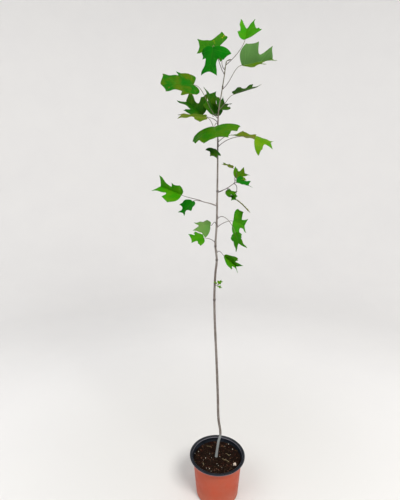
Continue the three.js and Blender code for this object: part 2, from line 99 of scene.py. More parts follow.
# Leaf stalks and blades, and the side shoots
STALK_RADIUS_FOOT = 1.7
STALK_RADIUS = 1.1
MIDRIB_RADIUS = 0.5
STALK_BASE = 3
LATERAL_LOBE = 0.62
LOBE_FADES = [0.3, 0.8]
LOBE_VARIATION = 0.04
LEAF_SEED = 11
SHOOT_RADIUS_FOOT = 2.2
SHOOT_RADIUS = 1.5

# A blade's edge for a blade one long, as places (across, along): the tip of its side lobe, the tooth above
# it, the waist, the tip of its upper lobe and, on the midrib, the notch between the two upper lobes
OUTLINE = {
    "side": [0.6, 0.24], "tooth": [0.46, 0.42], "waist": [0.27, 0.52], "upper": [0.38, 0.98], "notch": 0.84,
}


def leaf_row(tone, foot, start, blade, lie, form, lobes=(1, 1), **places):
    """A leaf as its tone, where its stalk leaves from, where its blade starts (right, back, up), the blade's
    length, how it lies (degrees that it points round from the right, rises and rolls), its form (degrees of
    fold along the midrib, droop and cupping), how far its right and left side lobes reach, and the places of
    its outline that differ."""
    return dict(
        tone=tone, foot=foot, start=start, blade=blade, lie=lie, form=form, lobes=lobes,
        outline={**OUTLINE, **places},
    )


# Every leaf on the trunk: its stalk leaves from a height, and its blade starts from the trunk's foot
TRUNK_LEAVES = {
    "top_right": leaf_row(
        "bright", 1630, (93, 11, 1717), 86, (72, 57, -8), (32, 0, 10), lobes=(1.25, 0.65),
        tooth=(0.5, 0.35), waist=(0.38, 0.46), upper=(0.34, 1.05), notch=0.65,
    ),
    "top_back": leaf_row(
        "spotted", 1614, (4, 12, 1694), 88, (178, 2, 78), (5, 5, 10), side=(0.45, -0.25),
        tooth=(0.65, -0.05), waist=(0.25, 0.4), upper=(0.3, 0.9), notch=0.8,
    ),
    "top_front": leaf_row(
        "deep", 1598, (-21, -45, 1673), 93, (145, -80, 87), (14, 0, 45), lobes=(0.8, 1.2), side=(0.65, 0.2),
        waist=(0.25, 0.45),
    ),
    "big_right": leaf_row(
        "blue_grey", 1548, (80, -17, 1623), 124, (7, 13, -73), (52, 0, 0), lobes=(1, 0.85),
        side=(0.65, 0.15), tooth=(0.6, 0.5), waist=(0.2, 0.55), upper=(0.35, 0.9), notch=0.9,
    ),
    "right_level": leaf_row(
        "dark", 1478, (57, 17, 1533), 97, (9, 18, -16), (15, 0, 1), lobes=(0.85, 1), side=(0.5, 0.35),
        tooth=(0.45, 0.45), upper=(0.45, 0.95), notch=0.75,
    ),
    "centre_small": leaf_row("dark", 1466, (5, 50, 1488), 70, (55, 35, -50), (35, 20, 0)),
    "centre_back": leaf_row("dark", 1458, (-18, 62, 1470), 98, (120, 80, -20), (20, 10, 25)),
    "big_left": leaf_row(
        "deep_olive", 1448, (-86, -34, 1554), 108, (199, 2, 52), (15, 13, 25), lobes=(0.9, 1),
        side=(0.5, 0), tooth=(0.55, 0.5), waist=(0.35, 0.5), upper=(0.4, 0.95), notch=1.05,
    ),
    "left_back": leaf_row(
        "dark", 1434, (-54, 57, 1469), 111, (140, 35, 48), (38, 0, 0), lobes=(0.95, 1), side=(0.65, 0.3),
        waist=(0.2, 0.45), notch=0.9,
    ),
    "wide_front": leaf_row(
        "mid", 1422, (-14, -55, 1410), 120, (271, -35, -18), (8, 0, 34), lobes=(1.2, 1.1),
        side=(0.65, 0.15), tooth=(0.55, 0.45), waist=(0.4, 0.5), upper=(0.35, 0.75), notch=0.6,
    ),
    "left_level": leaf_row("olive", 1395, (-43, -38, 1445), 101, (186, 8, 20), (10, 16, 32)),
    "right_short": leaf_row(
        "olive", 1366, (51, 22, 1391), 92, (350, -4, -21), (12, 12, 6), lobes=(0.6, 1.1), side=(0.1, 0.3),
        tooth=(0.5, 0.4), waist=(0.3, 0.6), upper=(0.35, 0.95), notch=0.95,
    ),
    "right_hanging": leaf_row(
        "yellow", 1350, (125, -58, 1373), 78, (356, -16, -35), (0, 7, 48), lobes=(1.2, 1), side=(0.7, 0.35),
        waist=(0.2, 0.5), upper=(0.35, 0.85), notch=0.7,
    ),
    "small_front": leaf_row(
        "dark", 1332, (-13, -24, 1338), 48, (265, -39, 27), (0, 6, 32), lobes=(1.1, 1), side=(0.65, 0.25),
        waist=(0.3, 0.55), upper=(0.3, 0.95),
    ),
    "hanging_right": leaf_row(
        "bright", 1092, (63, -34, 1040), 63, (302, -68, -88), (10, 21, 22), side=(0.5, 0.2),
        tooth=(0.45, 0.35), waist=(0.38, 0.5), upper=(0.5, 1), notch=0.6,
    ),
    "pale_left": leaf_row(
        "pale", 1072, (-26, 28, 1060), 63, (168, -3, 46), (0, 0, 40), lobes=(1, 1.15), side=(0.65, 0.3),
        tooth=(0.5, 0.45), waist=(0.4, 0.55), upper=(0.3, 1.05), notch=0.7,
    ),
    "face_right": leaf_row(
        "bright", 1060, (57, 4, 1080), 82, (36, -18, -84), (23, 16, 10), side=(0.6, 0), tooth=(0.55, 0.35),
        waist=(0.2, 0.5), upper=(0.35, 0.9), notch=0.85,
    ),
    "bright_left": leaf_row(
        "bright", 1004, (-51, -36, 1024), 60, (208, 7, 41), (5, 10, 37), lobes=(1.1, 0.9), side=(0.6, 0.35),
        tooth=(0.45, 0.5), waist=(0.25, 0.55), upper=(0.35, 0.9),
    ),
    "low_right": leaf_row(
        "bright", 966, (24, -11, 954), 82, (18, -40, -88), (55, 23, 0), lobes=(1, 0.85), side=(0.55, 0.4),
        tooth=(0.45, 0.5), waist=(0.2, 0.6), upper=(0.35, 0.95), notch=0.9,
    ),
}

# The side shoots: the height they leave from, how far their tips stand from there (right, back, up), and
# the stem and leaves of the spray beyond the tip. These leaves start from the stem's foot, and their stalks
# leave from one of the stem's places
SIDE_SHOOTS = {
    "right": dict(
        height=1187, tip=(23, -5, 8), stem=[(12, -3, 6), (35, -4, 22)],
        leaves=[
            leaf_row(
                "yellow", 1, (41, 13, 44), 59, (39, 18, -53), (30, 4, 0), side=(0.65, 0.3),
                waist=(0.25, 0.5), notch=0.9,
            ),
            leaf_row("deep", 1, (44, -12, 26), 56, (14, -12, -36), (34, 7, 8), side=(0.55, 0.3)),
            leaf_row("mid", 0, (6, -10, -9), 43, (354, -2, -32), (7, 15, 21), side=(0.6, 0.35), notch=0.8),
            leaf_row("mid", 0, (33, -3, -20), 26, (273, -39, -3), (14, 12, 22)),
            leaf_row("olive", 1, (34, 29, 79), 43, (174, 25, 15), (15, 12, 22)),
            leaf_row("brown", 1, (50, 22, -40), 66, (342, -35, 10), (15, 18, 28)),
        ],
    ),
    "left": dict(
        height=1138, tip=(-47, -8, 13), stem=[(-8, -1, 3), (-16, -2, 7)],
        leaves=[
            leaf_row(
                "bright", 1, (-80, -21, 26), 106, (155, 20, 67), (40, 10, 0), lobes=(0.55, 1.15),
                side=(0.55, 0.15), tooth=(0.45, 0.45), waist=(0.2, 0.5), notch=0.9,
            ),
            leaf_row(
                "deep", 0, (-41, -12, 3), 66, (205, -39, 17), (13, 19, 15), lobes=(1.1, 1),
                side=(0.5, 0.25), tooth=(0.55, 0.55), waist=(0.2, 0.65), upper=(0.3, 0.95),
            ),
        ],
    ),
}

# A sprig of new leaflets low on the trunk
SPRIG = dict(
    height=838, stem=[(6, -4, 3), (9, -6, 6)],
    leaves=[
        leaf_row("yellow", 1, (9, -5, 10), 18, (20, 30, -30), (20, 10, 10)),
        leaf_row("yellow", 1, (3, -9, 9), 15, (200, 40, 20), (20, 10, 10)),
        leaf_row("yellow", 0, (9, -11, 1), 16, (300, -10, 0), (20, 10, 10)),
    ],
)

# Fine detail that the solids leave out
BLADE_THICKNESS = 0.5
EDGE_WAVE = 0.02
EDGE_WAVES = 2.6
QUILT = 0.006
TRUNK_RINGS_APART = 2.5
TRUNK_ROUND = 24
POT_ROUND = 144
SCATTER_SEED = 29

# A blade's mesh: steps along the stretches of each half's edge, how far up the midrib the veins of each
# stretch begin, the steps where the main veins end, from one side vein to the next, and outwards
STRETCH_STEPS = (12, 6, 9, 9, 9)
VEIN_STARTS = (0, 0.08, 0.14, 0.28, 0.56)
EDGE_STEPS = sum(STRETCH_STEPS)
SIDE_LOBE_STEP = 12
TOOTH_STEP = 18
WAIST_STEP = 27
UPPER_LOBE_STEP = 36
VEIN_STEPS = 3
ACROSS_STEPS = 7

# The raised ribs under a blade: the step that each ends at and its thickness, then the form of all
RIBS = [(SIDE_LOBE_STEP, 1), (UPPER_LOBE_STEP, 0.9), (TOOTH_STEP, 0.7), (WAIST_STEP, 0.6)]
RIB_RADIUS = 0.45
RIB_BLADE = 100
RIB_REACH = 0.96
RIB_TAPER = 0.75
RIB_SUNK = 0.1
RIB_STEPS = 8
RIB_SIDES = 5

# A stalk: how far it keeps its direction at both ends, how it thins, and the midrib that it runs on as
STALK_STEPS = 16
STALK_SIDES = 10
STALK_PULL = 0.38
BLADE_PULL = 0.3
STALK_BASE_RADII = (STALK_RADIUS_FOOT * 0.9, STALK_RADIUS_FOOT * 1.05, STALK_RADIUS * 1.15)
STALK_THINS = (1.1, 0.8)
SMALLEST_STALK = 0.6
FULL_STALK_BLADE = 60
MIDRIB_SHARES = (0.04, 0.1, 0.2, 0.32, 0.45, 0.6, 0.74, 0.8)
MIDRIB_TIP_RADIUS = 0.12
MIDRIB_BLADE = 90
STALK_LEAN = math.radians(40)

# The shoots and the stems of the sprays
SHOOT_LEAN = math.radians(20)
SHOOT_SIDES = 14
STEM_SIDES = 12
STEM_THINS = 0.8
PATH_STEPS = 6
TIP_OVERLAP = 0.6
SUNK_IN_TRUNK = 2.5
SUNK_IN_STEM = 0.5

# The bark's unevenness: its depth as a share of the radius, and how fine it is round and along the trunk
BARK_UNEVEN = [(0.05, 1.6, 0.05), (0.03, 4, 0.22)]

# The heights in metres over which the bark's pale foot ends and its young top starts
PALE_ENDS = (0.225, 0.25)
YOUNG_STARTS = (1.38, 1.62)

# How far and over what height the bark swells under a stalk
CUSHION_LIFT = 0.7
CUSHION_HEIGHT = 3.2

# The buds as (share of the way to the tip, radius): the end bud, and the one above each leaf's cushion
END_BUD = [
    (0.08, 1.25), (0.2, 1.25), (0.33, 1.4), (0.4, 1.8), (0.5, BUD_RADIUS), (0.62, BUD_RADIUS),
    (0.75, BUD_RADIUS * 0.86), (0.87, BUD_RADIUS * 0.6), (0.96, 0.7), (1, 0.25),
]
END_BUD_FLATNESS = 0.35
LEAF_BUD = [(0, 0.7), (0.2, 1.1), (0.45, 1.25), (0.7, 0.95), (0.9, 0.45), (1, 0.1)]
LEAF_BUD_LENGTH = 4.5
LEAF_BUD_ABOVE = 4
LEAF_BUD_SUNK = 0.4
LEAF_BUD_SIDES = 10

# The compost's surface as (how fine, shifted by, how high), and what lies on it
COMPOST_LUMPS = [(0.09, (0, 0, 0), 1.3), (0.35, (7, 0, 0), 1.3), (1.1, (0, 5, 0), 0.8)]
COMPOST_SETTLED = 0.4
COMPOST_RINGS = 62
TRUNK_CLEARANCE = 11
CRUMBS = 420
CRUMB_REACH = 88
BARK_BITS = 60
MORE_PERLITE = 14
BIT_REACH = 86
PERLITE_PLACES = [(-88, 22), (-74, 29), (50, 72), (64, 41), (-3, -38), (-32, -60), (34, 57), (-46, -8)]
STONE_PLACE = (66, -43)
STRAWS = [((18, -14), (46, -29)), ((34, 14), (49, 2)), ((-60, -30), (-52, -44)), ((-20, 50), (-38, 58))]
STRAW_RADIUS = 0.6
STRAW_STEPS = 8
STRAW_LIFT = 1.2
STRAW_ARCH = 1.4
STRAW_BEND = 1.5

# The studio round the plant, whose paper is darker near it as painted shade, up to so many metres away
STUDIO_RADIUS = 3800
STUDIO_CURVE = 1500
STUDIO_HEIGHT = 4600
STUDIO_ROUND = 128
STUDIO_STEPS = 24
STUDIO_SHADE_ENDS = (0.3, 1.4)
WORLD_STRENGTH = 0.55


def rgb(red, green, blue):
    """A colour given as 0 to 255 display values."""
    linear = []
    for value in (red, green, blue):
        value /= 255
        linear.append(value / 12.92 if value <= 0.04045 else ((value + 0.055) / 1.055) ** 2.4)
    return (*linear, 1)


BARK_BROWN = rgb(92, 82, 76)
BARK_GREY = rgb(118, 112, 107)
BARK_PALE = rgb(132, 136, 136)
BARK_YOUNG = rgb(74, 74, 44)
BARK_DARK = rgb(48, 42, 42)
BARK_PORE = rgb(146, 140, 132)
BUD_BROWN = rgb(58, 44, 38)
BUD_GREEN = rgb(96, 92, 52)
STALK_COLOURS = (rgb(62, 48, 46), rgb(84, 80, 50))
YOUNG_STALK_COLOURS = (rgb(120, 116, 60), rgb(140, 156, 70))
POT_RED = rgb(171, 70, 43)
POT_RED_WORN = rgb(165, 77, 54)
POT_DUST = rgb(190, 150, 125)
POT_SCUFF = rgb(222, 150, 122)
POT_BLACK = rgb(13, 18, 25)
POT_BLACK_WORN = rgb(28, 34, 43)
POT_RIM_HIGHLIGHT = rgb(112, 110, 118)
POT_SPECK = rgb(96, 74, 58)
COMPOST_DARK = rgb(11, 6, 4)
COMPOST_BROWN = rgb(35, 20, 13)
COMPOST_RED = rgb(54, 18, 12)
COMPOST_FLECK = rgb(98, 80, 56)
CRUMB_DARK = rgb(14, 8, 5)
CRUMB_BROWN = rgb(52, 34, 24)
STUDIO_PAPER_SHADED = rgb(213, 212, 210)
STUDIO_PAPER = rgb(228, 227, 227)
STUDIO_PAPER_PALE = rgb(233, 232, 231)

# What lies on the compost: each piece's material, its two colours, its grain and the angle that stays sharp
LOOSE_BITS = {
    "bark_bits": ("bark_bits", rgb(70, 38, 26), rgb(104, 70, 46), 300.0, 60),
    "perlite": ("perlite", rgb(176, 172, 156), rgb(206, 202, 188), 500.0, 60),
    "pale_stone": ("pale_stone", rgb(196, 176, 158), rgb(218, 204, 190), 260.0, 40),
    "straws": ("straw", rgb(132, 118, 88), rgb(160, 146, 112), 400.0, 60),
}

# Leaf colours: how far blemishes spread, two shades of the upper side, the blemishes, the underside
TONES = {
    "deep": (0.0, (0, 94, 0), (12, 92, 0), (60, 100, 6), (74, 112, 54)),
    "deep_olive": (0.5, (10, 84, 0), (60, 86, 0), (88, 70, 8), (76, 106, 54)),
    "bright": (0.0, (40, 114, 0), (60, 118, 2), (100, 128, 12), (98, 136, 50)),
    "yellow": (0.2, (62, 112, 0), (84, 118, 2), (116, 100, 12), (108, 134, 50)),
    "olive": (0.5, (66, 92, 0), (86, 96, 4), (96, 70, 12), (90, 106, 46)),
    "spotted": (0.5, (30, 92, 0), (58, 98, 2), (140, 134, 20), (84, 112, 50)),
    "dark": (0.2, (20, 78, 0), (46, 82, 0), (80, 80, 8), (66, 92, 40)),
    "mid": (0.3, (28, 88, 0), (52, 94, 0), (92, 94, 10), (80, 112, 52)),
    "brown": (0.5, (84, 86, 4), (76, 90, 4), (88, 60, 12), (100, 100, 42)),
    "pale": (0.2, (82, 124, 56), (94, 128, 64), (60, 104, 20), (112, 146, 92)),
    # blue_grey: its first shade is a painted sheen, laid on one half of the blade
    "blue_grey": (0.0, (82, 122, 64), (66, 94, 2), (98, 96, 14), (100, 136, 88)),
}

# Leaves with a painted sheen on one half, a paler grey-green that stands in for light glancing off the blade:
# where it gives way to the plain green, across the blade
PAINTED_SHEEN_HALVES = {"leaf_blue_grey": (0.0, 26.0)}
PAINTED_SHEEN_UNEVEN = 10.0

# The look of all leaves: veins paler than the blade, a brown edge, the underside's share of green, a net
VEIN_PALER = (1.25, (0.03, 0.05, 0.004))
UNDER_VEIN_PALER = (1.3, (0.05, 0.05, 0.05))
LEAF_EDGE = rgb(112, 96, 38)
UNDER_GREEN = 0.35
LEAF_NET = 420.0
LEAF_RELIEF = 0.0004
LEAF_GLOSS = 0.05


# Small differences between leaves come from one seeded sequence, what is scattered from another
def seeded_sequence(seed):
    state = seed
    while True:
        state = (state * 16807) % 2147483647
        yield state / 2147483647


chance = seeded_sequence(LEAF_SEED)
scatter = seeded_sequence(SCATTER_SEED)


def vary(amount):
    return 1 + amount * (2 * next(chance) - 1)


def between(low, high):
    return low + (high - low) * next(scatter)


def lerp(a, b, share):
    return a + (b - a) * share


def smoothstep(value, low, high):
    share = min(max((value - low) / (high - low), 0), 1)
    return share * share * (3 - 2 * share)


# A smooth value through (height, value) pairs
def through(pairs, height):
    last = len(pairs) - 1
    i = 0
    while i < last - 1 and height > pairs[i + 1][0]:
        i += 1

    def slope(k):
        below = pairs[max(k - 1, 0)]
        above = pairs[min(k + 1, last)]
        return (above[1] - below[1]) / (above[0] - below[0])

    span = pairs[i + 1][0] - pairs[i][0]
    t = min(max((height - pairs[i][0]) / span, 0), 1)
    t2 = t * t
    t3 = t2 * t
    return ((2 * t3 - 3 * t2 + 1) * pairs[i][1] + (t3 - 2 * t2 + t) * span * slope(i)
            + (3 * t2 - 2 * t3) * pairs[i + 1][1] + (t3 - t2) * span * slope(i + 1))


# The trunk's middle and its radius at a height
TRUNK_BASE = COMPOST_TOP + GAP


def trunk_at(height):
    right = TRUNK_FOOT_RIGHT + through(SWAY_RIGHT, height)
    back = SWAY_BACK * math.sin((height - TRUNK_BASE) / SWAY_BACK_WAVE)
    return Vector((right, back, height))


def trunk_radius(height):
    share = min(max((height - TRUNK_BASE) / (TRUNK_TOP - TRUNK_BASE), 0), 1)
    radius = TRUNK_RADIUS_TOP + (TRUNK_RADIUS_FOOT - TRUNK_RADIUS_TOP) * (1 - share ** TAPER_POWER)
    radius += FLARE * math.exp(-(height - TRUNK_BASE) / FLARE_HEIGHT)
    for scar in SCARS:
        radius += SCAR_SWELL * math.exp(-(((height - scar) / SCAR_HEIGHT) ** 2))
    return radius


def off_trunk(height, towards, foot_radius, lean):
    """Where a stalk or shoot stands on the trunk, and the direction it leaves in."""
    middle = trunk_at(height)
    out = Vector((towards.x - middle.x, towards.y - middle.y, 0)).normalized()
    leaving = out * math.cos(lean) + Vector((0, 0, math.sin(lean)))
    distance = trunk_radius(height) + GAP + foot_radius * math.sin(lean)
    return middle + out * distance, leaving


# Length along and rise across of an arc that starts at one angle and turns evenly
def arc(start_angle, turn, distance, length):
    bend = turn / length
    if abs(bend) < 1e-9:
        return math.cos(start_angle) * distance, math.sin(start_angle) * distance
    end_angle = start_angle + bend * distance
    ahead = (math.sin(end_angle) - math.sin(start_angle)) / bend
    rise = (math.cos(start_angle) - math.cos(end_angle)) / bend
    return ahead, rise


# The three directions of a blade at its foot: along the midrib, across to its right, out of its upper face
def blade_directions(lie):
    heading, rise, roll = (math.radians(angle) for angle in lie)
    level = Vector((math.cos(heading), math.sin(heading), 0))
    along = level * math.cos(rise) + Vector((0, 0, math.sin(rise)))
    level_side = Vector((math.sin(heading), -math.cos(heading), 0))
    level_top = level_side.cross(along)
    across = level_side * math.cos(roll) + level_top * math.sin(roll)
    top = level_top * math.cos(roll) - level_side * math.sin(roll)
    return along, across, top


def on_blade(leaf, across, along):
    """The place and upward normal of a blade's point, given as shares of the blade's length."""
    fold, droop, cup = (math.radians(angle) for angle in leaf["form"])
    length = leaf["blade"]
    ahead_way, across_way, top_way = blade_directions(leaf["lie"])
    ahead, rise = arc(0, -droop, along * length, length)
    turned = -droop * along
    top = top_way * math.cos(turned) - ahead_way * math.sin(turned)
    side = (across > 0) - (across < 0)
    reach = abs(across) * length
    out, up = arc(fold, -cup, reach, LATERAL_LOBE * length)
    tilt = fold - cup * reach / (LATERAL_LOBE * length) if side else 0
    place = (leaf["start"] + ahead_way * ahead + top_way * rise + across_way * (side * out) + top * up)
    normal = top * math.cos(tilt) - across_way * (side * math.sin(tilt))
    return place, normal


def bezier(points, share):
    rest = 1 - share
    weights = (rest ** 3, 3 * rest * rest * share, 3 * rest * share * share, share ** 3)
    return sum((Vector(p) * w for p, w in zip(points, weights)), Vector(points[0]) * 0)


# Half of a blade's edge from its foot to the notch: curves, the span of midrib that each one's side veins
# leave from, and its steps
def half_edge(outline):
    side, tooth, waist, upper = (Vector(outline[place]) for place in ("side", "tooth", "waist", "upper"))
    foot, end = Vector((0, 0)), Vector((0, outline["notch"]))

    def off(point, across, along):
        return point + Vector((across, along))

    curves = [
        (foot, Vector((0.45 * side.x, -0.1)), off(side, -0.09, -0.2), side),
        (side, off(side, -0.06, 0.03), off(tooth, 0.01, -0.08), tooth),
        (tooth, off(tooth, -0.1, 0), off(waist, 0.02, -0.12), waist),
        (waist, off(waist, -0.01, 0.14), off(upper, -0.03, -0.16), upper),
        (upper, Vector((0.7 * upper.x, upper.y - 0.06)), off(end, 0.12, 0.02), end),
    ]
    return zip(curves, zip(VEIN_STARTS, [*VEIN_STARTS[1:], end.y]), STRETCH_STEPS)


# The side veins of half a blade: each runs from the midrib to a point of the edge
def side_veins(outline, lobe_reach):
    veins = [(0, (0, 0))]
    for curve, span, steps in half_edge(outline):
        for i in range(1, steps + 1):
            share = i / steps
            point = bezier(curve, share)
            widen = lerp(lobe_reach, 1, smoothstep(point.y, *LOBE_FADES))
            veins.append((lerp(*span, share), (point.x * widen, point.y)))
    return veins


def place_object(name, data):
    made = bpy.data.objects.new(name, data)
    bpy.context.scene.collection.objects.link(made)
    return made


class Shape:
    """Corners in millimetres and faces of several closed forms, gathered into one mesh."""

    def __init__(self):
        self.corners = []
        self.faces = []
        self.slots = []
        self.plan = []
        self.fan = []

    def add(self, corners, faces, plan=None, fan=None, slot=0):
        first = len(self.corners)
        self.corners += corners
        self.faces += [tuple(first + corner for corner in face) for face in faces]
        self.slots += [slot] * len(faces)
        self.plan += plan or [(0.0, 0.0)] * len(corners)
        self.fan += fan or [(0.0, 0.0)] * len(corners)

    def make(self, name, materials, smooth_to=50):
        mesh = bpy.data.meshes.new(name)
        mesh.from_pydata([corner * MM for corner in self.corners], [], self.faces)
        for material in materials:
            mesh.materials.append(material)
        mesh.polygons.foreach_set("material_index", self.slots)
        for layer_name, values in (("plan", self.plan), ("fan", self.fan)):
            layer = mesh.uv_layers.new(name=layer_name)
            flat = [number for loop in mesh.loops for number in values[loop.vertex_index]]
            layer.data.foreach_set("uv", flat)
        mesh.polygons.foreach_set("use_smooth", [True] * len(mesh.polygons))
        mesh.set_sharp_from_angle(angle=math.radians(smooth_to))
        mesh.update()
        return place_object(name, mesh)

    def piece(self, name, node, slot_name, materials, smooth_to=50):
        made = self.make(name, materials, smooth_to)
        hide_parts(node)
        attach(made, "root")


def limb(points, radii, sides, level_foot=False, relief=None):
    """A closed tapering limb: its corners, its faces and, for each corner, (way along in mm, turn round)."""
    corners, faces, plan = [], [], []
    last = len(points) - 1
    side = Vector((1, 0, 0))
    travelled = 0
    for i, point in enumerate(points):
        along = (points[min(i + 1, last)] - points[max(i - 1, 0)]).normalized()
        if level_foot and i == 0:
            along = Vector((0, 0, 1))
        if i == 0 and abs(along.x) > 0.9:
            side = Vector((0, 1, 0))
        side = (side - along * side.dot(along)).normalized()
        up = along.cross(side)
        if i:
            travelled += (point - points[i - 1]).length
        for k in range(sides):
            turn = 2 * math.pi * k / sides
            radius = radii[i]
            if relief:
                radius += relief(point, turn, radius)
            corners.append(point + side * (radius * math.cos(turn)) + up * (radius * math.sin(turn)))
            plan.append((travelled, k / sides))
    for i in range(last):
        lower, upper = i * sides, (i + 1) * sides
        for k in range(sides):
            following = (k + 1) % sides
            faces.append((lower + k, lower + following, upper + following, upper + k))
    corners += [points[0], points[last]]
    plan += [(0, 0), (travelled, 0)]
    foot_centre, tip_centre = len(corners) - 2, len(corners) - 1
    for k in range(sides):
        following = (k + 1) % sides
        faces.append((foot_centre, following, k))
        faces.append((tip_centre, last * sides + k, last * sides + following))
    return corners, faces, plan


# A smooth run of points through a few given ones
def smooth_path(points, steps):
    path = []
    last = len(points) - 1
    for i in range(last):
        before, a, b, after = points[max(i - 1, 0)], points[i], points[i + 1], points[min(i + 2, last)]
        for k in range(steps):
            t = k / steps
            path.append(0.5 * (2 * a + (b - before) * t + (2 * before - 5 * a + 4 * b - after) * t * t
                               + (3 * a - before - 3 * b + after) * t ** 3))
    path.append(points[last])
    return path


def add_blade(shape, leaf):
    """A thin blade with its own outline, waves towards its edge and a lifted quilting between its veins."""
    halves = [side_veins(leaf["outline"], lobe * vary(LOBE_VARIATION)) for lobe in leaf["lobes"]]
    phase = 2 * math.pi * next(scatter)
    length = leaf["blade"]
    nodes, plan, fan, sheet = [], [], [], []

    def add_node(side, veins, step, t):
        foot, (x, y) = veins[step]
        across = side * x * t
        along = foot + (y - foot) * t
        place, normal = on_blade(leaf, across, along)
        wave = EDGE_WAVE * length * t ** 3 * math.sin(2 * math.pi * EDGE_WAVES * along + phase + side)
        quilt = QUILT * length * math.sin(math.pi * t) * math.sin(math.pi * step / VEIN_STEPS) ** 2
        nodes.append((place + normal * (wave + quilt), normal))
        plan.append((across * length, along * length))
        fan.append((step, t))
        return len(nodes) - 1

    last = EDGE_STEPS
    midrib = [add_node(0, halves[0], step, 0) for step in range(last + 1)]
    rims = []
    for side, veins in zip((1, -1), halves):
        rows = [midrib]
        for k in range(1, ACROSS_STEPS + 1):
            inner = [add_node(side, veins, step, k / ACROSS_STEPS) for step in range(1, last)]
            rows.append([midrib[0], *inner, midrib[last]])
        for inner, outer in zip(rows, rows[1:]):
            for i in range(last):
                quad = [inner[i], outer[i], outer[i + 1], inner[i + 1]]
                face = [corner for k, corner in enumerate(quad) if corner != quad[k - 1]]
                sheet.append(tuple(face if side > 0 else face[::-1]))
        rims.append(rows[-1])
    count = len(nodes)
    half = BLADE_THICKNESS / 2
    top = [place + normal * half for place, normal in nodes]
    under = [place - normal * half for place, normal in nodes]
    rim = rims[0] + rims[1][-2:0:-1]
    edge = []
    for i, a in enumerate(rim):
        b = rim[(i + 1) % len(rim)]
        edge.append((a + count, b + count, b, a))
    first = len(shape.faces)
    shape.add(top + under, sheet + [tuple(c + count for c in face[::-1]) for face in sheet] + edge,
              plan + plan, fan + fan)
    for i in range(len(sheet)):
        shape.slots[first + len(sheet) + i] = 1
    return halves


def under_blade(leaf, across, along, sunk):
    """A point on a blade's underside, sunk into it."""
    place, normal = on_blade(leaf, across, along)
    return place - normal * (BLADE_THICKNESS / 2 - sunk)


def add_ribs(shape, leaf, halves):
    """The raised ribs under a blade: one to each lobe's tip and waist."""
    for side, veins in zip((1, -1), halves):
        for step, thickness in RIBS:
            foot, (x, y) = veins[step]
            points, radii = [], []
            for i in range(RIB_STEPS + 1):
                t = RIB_REACH * i / RIB_STEPS
                points.append(under_blade(leaf, side * max(x * t, 1e-4), foot + (y - foot) * t, RIB_SUNK))
                radii.append(RIB_RADIUS * thickness * leaf["blade"] / RIB_BLADE * (1 - RIB_TAPER * t))
            shape.add(*limb(points, radii, RIB_SIDES)[:2], slot=1)


def add_stalk(shape, leaf, foot, leaving, sunk):
    """A stalk with a swollen base that is sunk into its limb, running on under the blade as its midrib."""
    start, length = leaf["start"], leaf["blade"]
    along = blade_directions(leaf["lie"])[0]
    base = foot + leaving * STALK_BASE
    distance = (start - base).length
    bend = (base, base + leaving * (distance * STALK_PULL), start - along * (distance * BLADE_PULL), start)
    scale = lerp(SMALLEST_STALK, 1, min(1, length / FULL_STALK_BLADE))
    points = [foot - leaving * sunk, foot, base]
    radii = [radius * scale for radius in STALK_BASE_RADII]
    for i in range(1, STALK_STEPS + 1):
        share = i / STALK_STEPS
        points.append(bezier(bend, share))
        radii.append(STALK_RADIUS * scale * lerp(*STALK_THINS, share))
    for share in MIDRIB_SHARES:
        radius = lerp(MIDRIB_RADIUS, MIDRIB_TIP_RADIUS, share / MIDRIB_SHARES[-1])
        points.append(under_blade(leaf, 0, share, 0))
        radii.append(radius * length / MIDRIB_BLADE)
    shape.add(*limb(points, radii, STALK_SIDES))


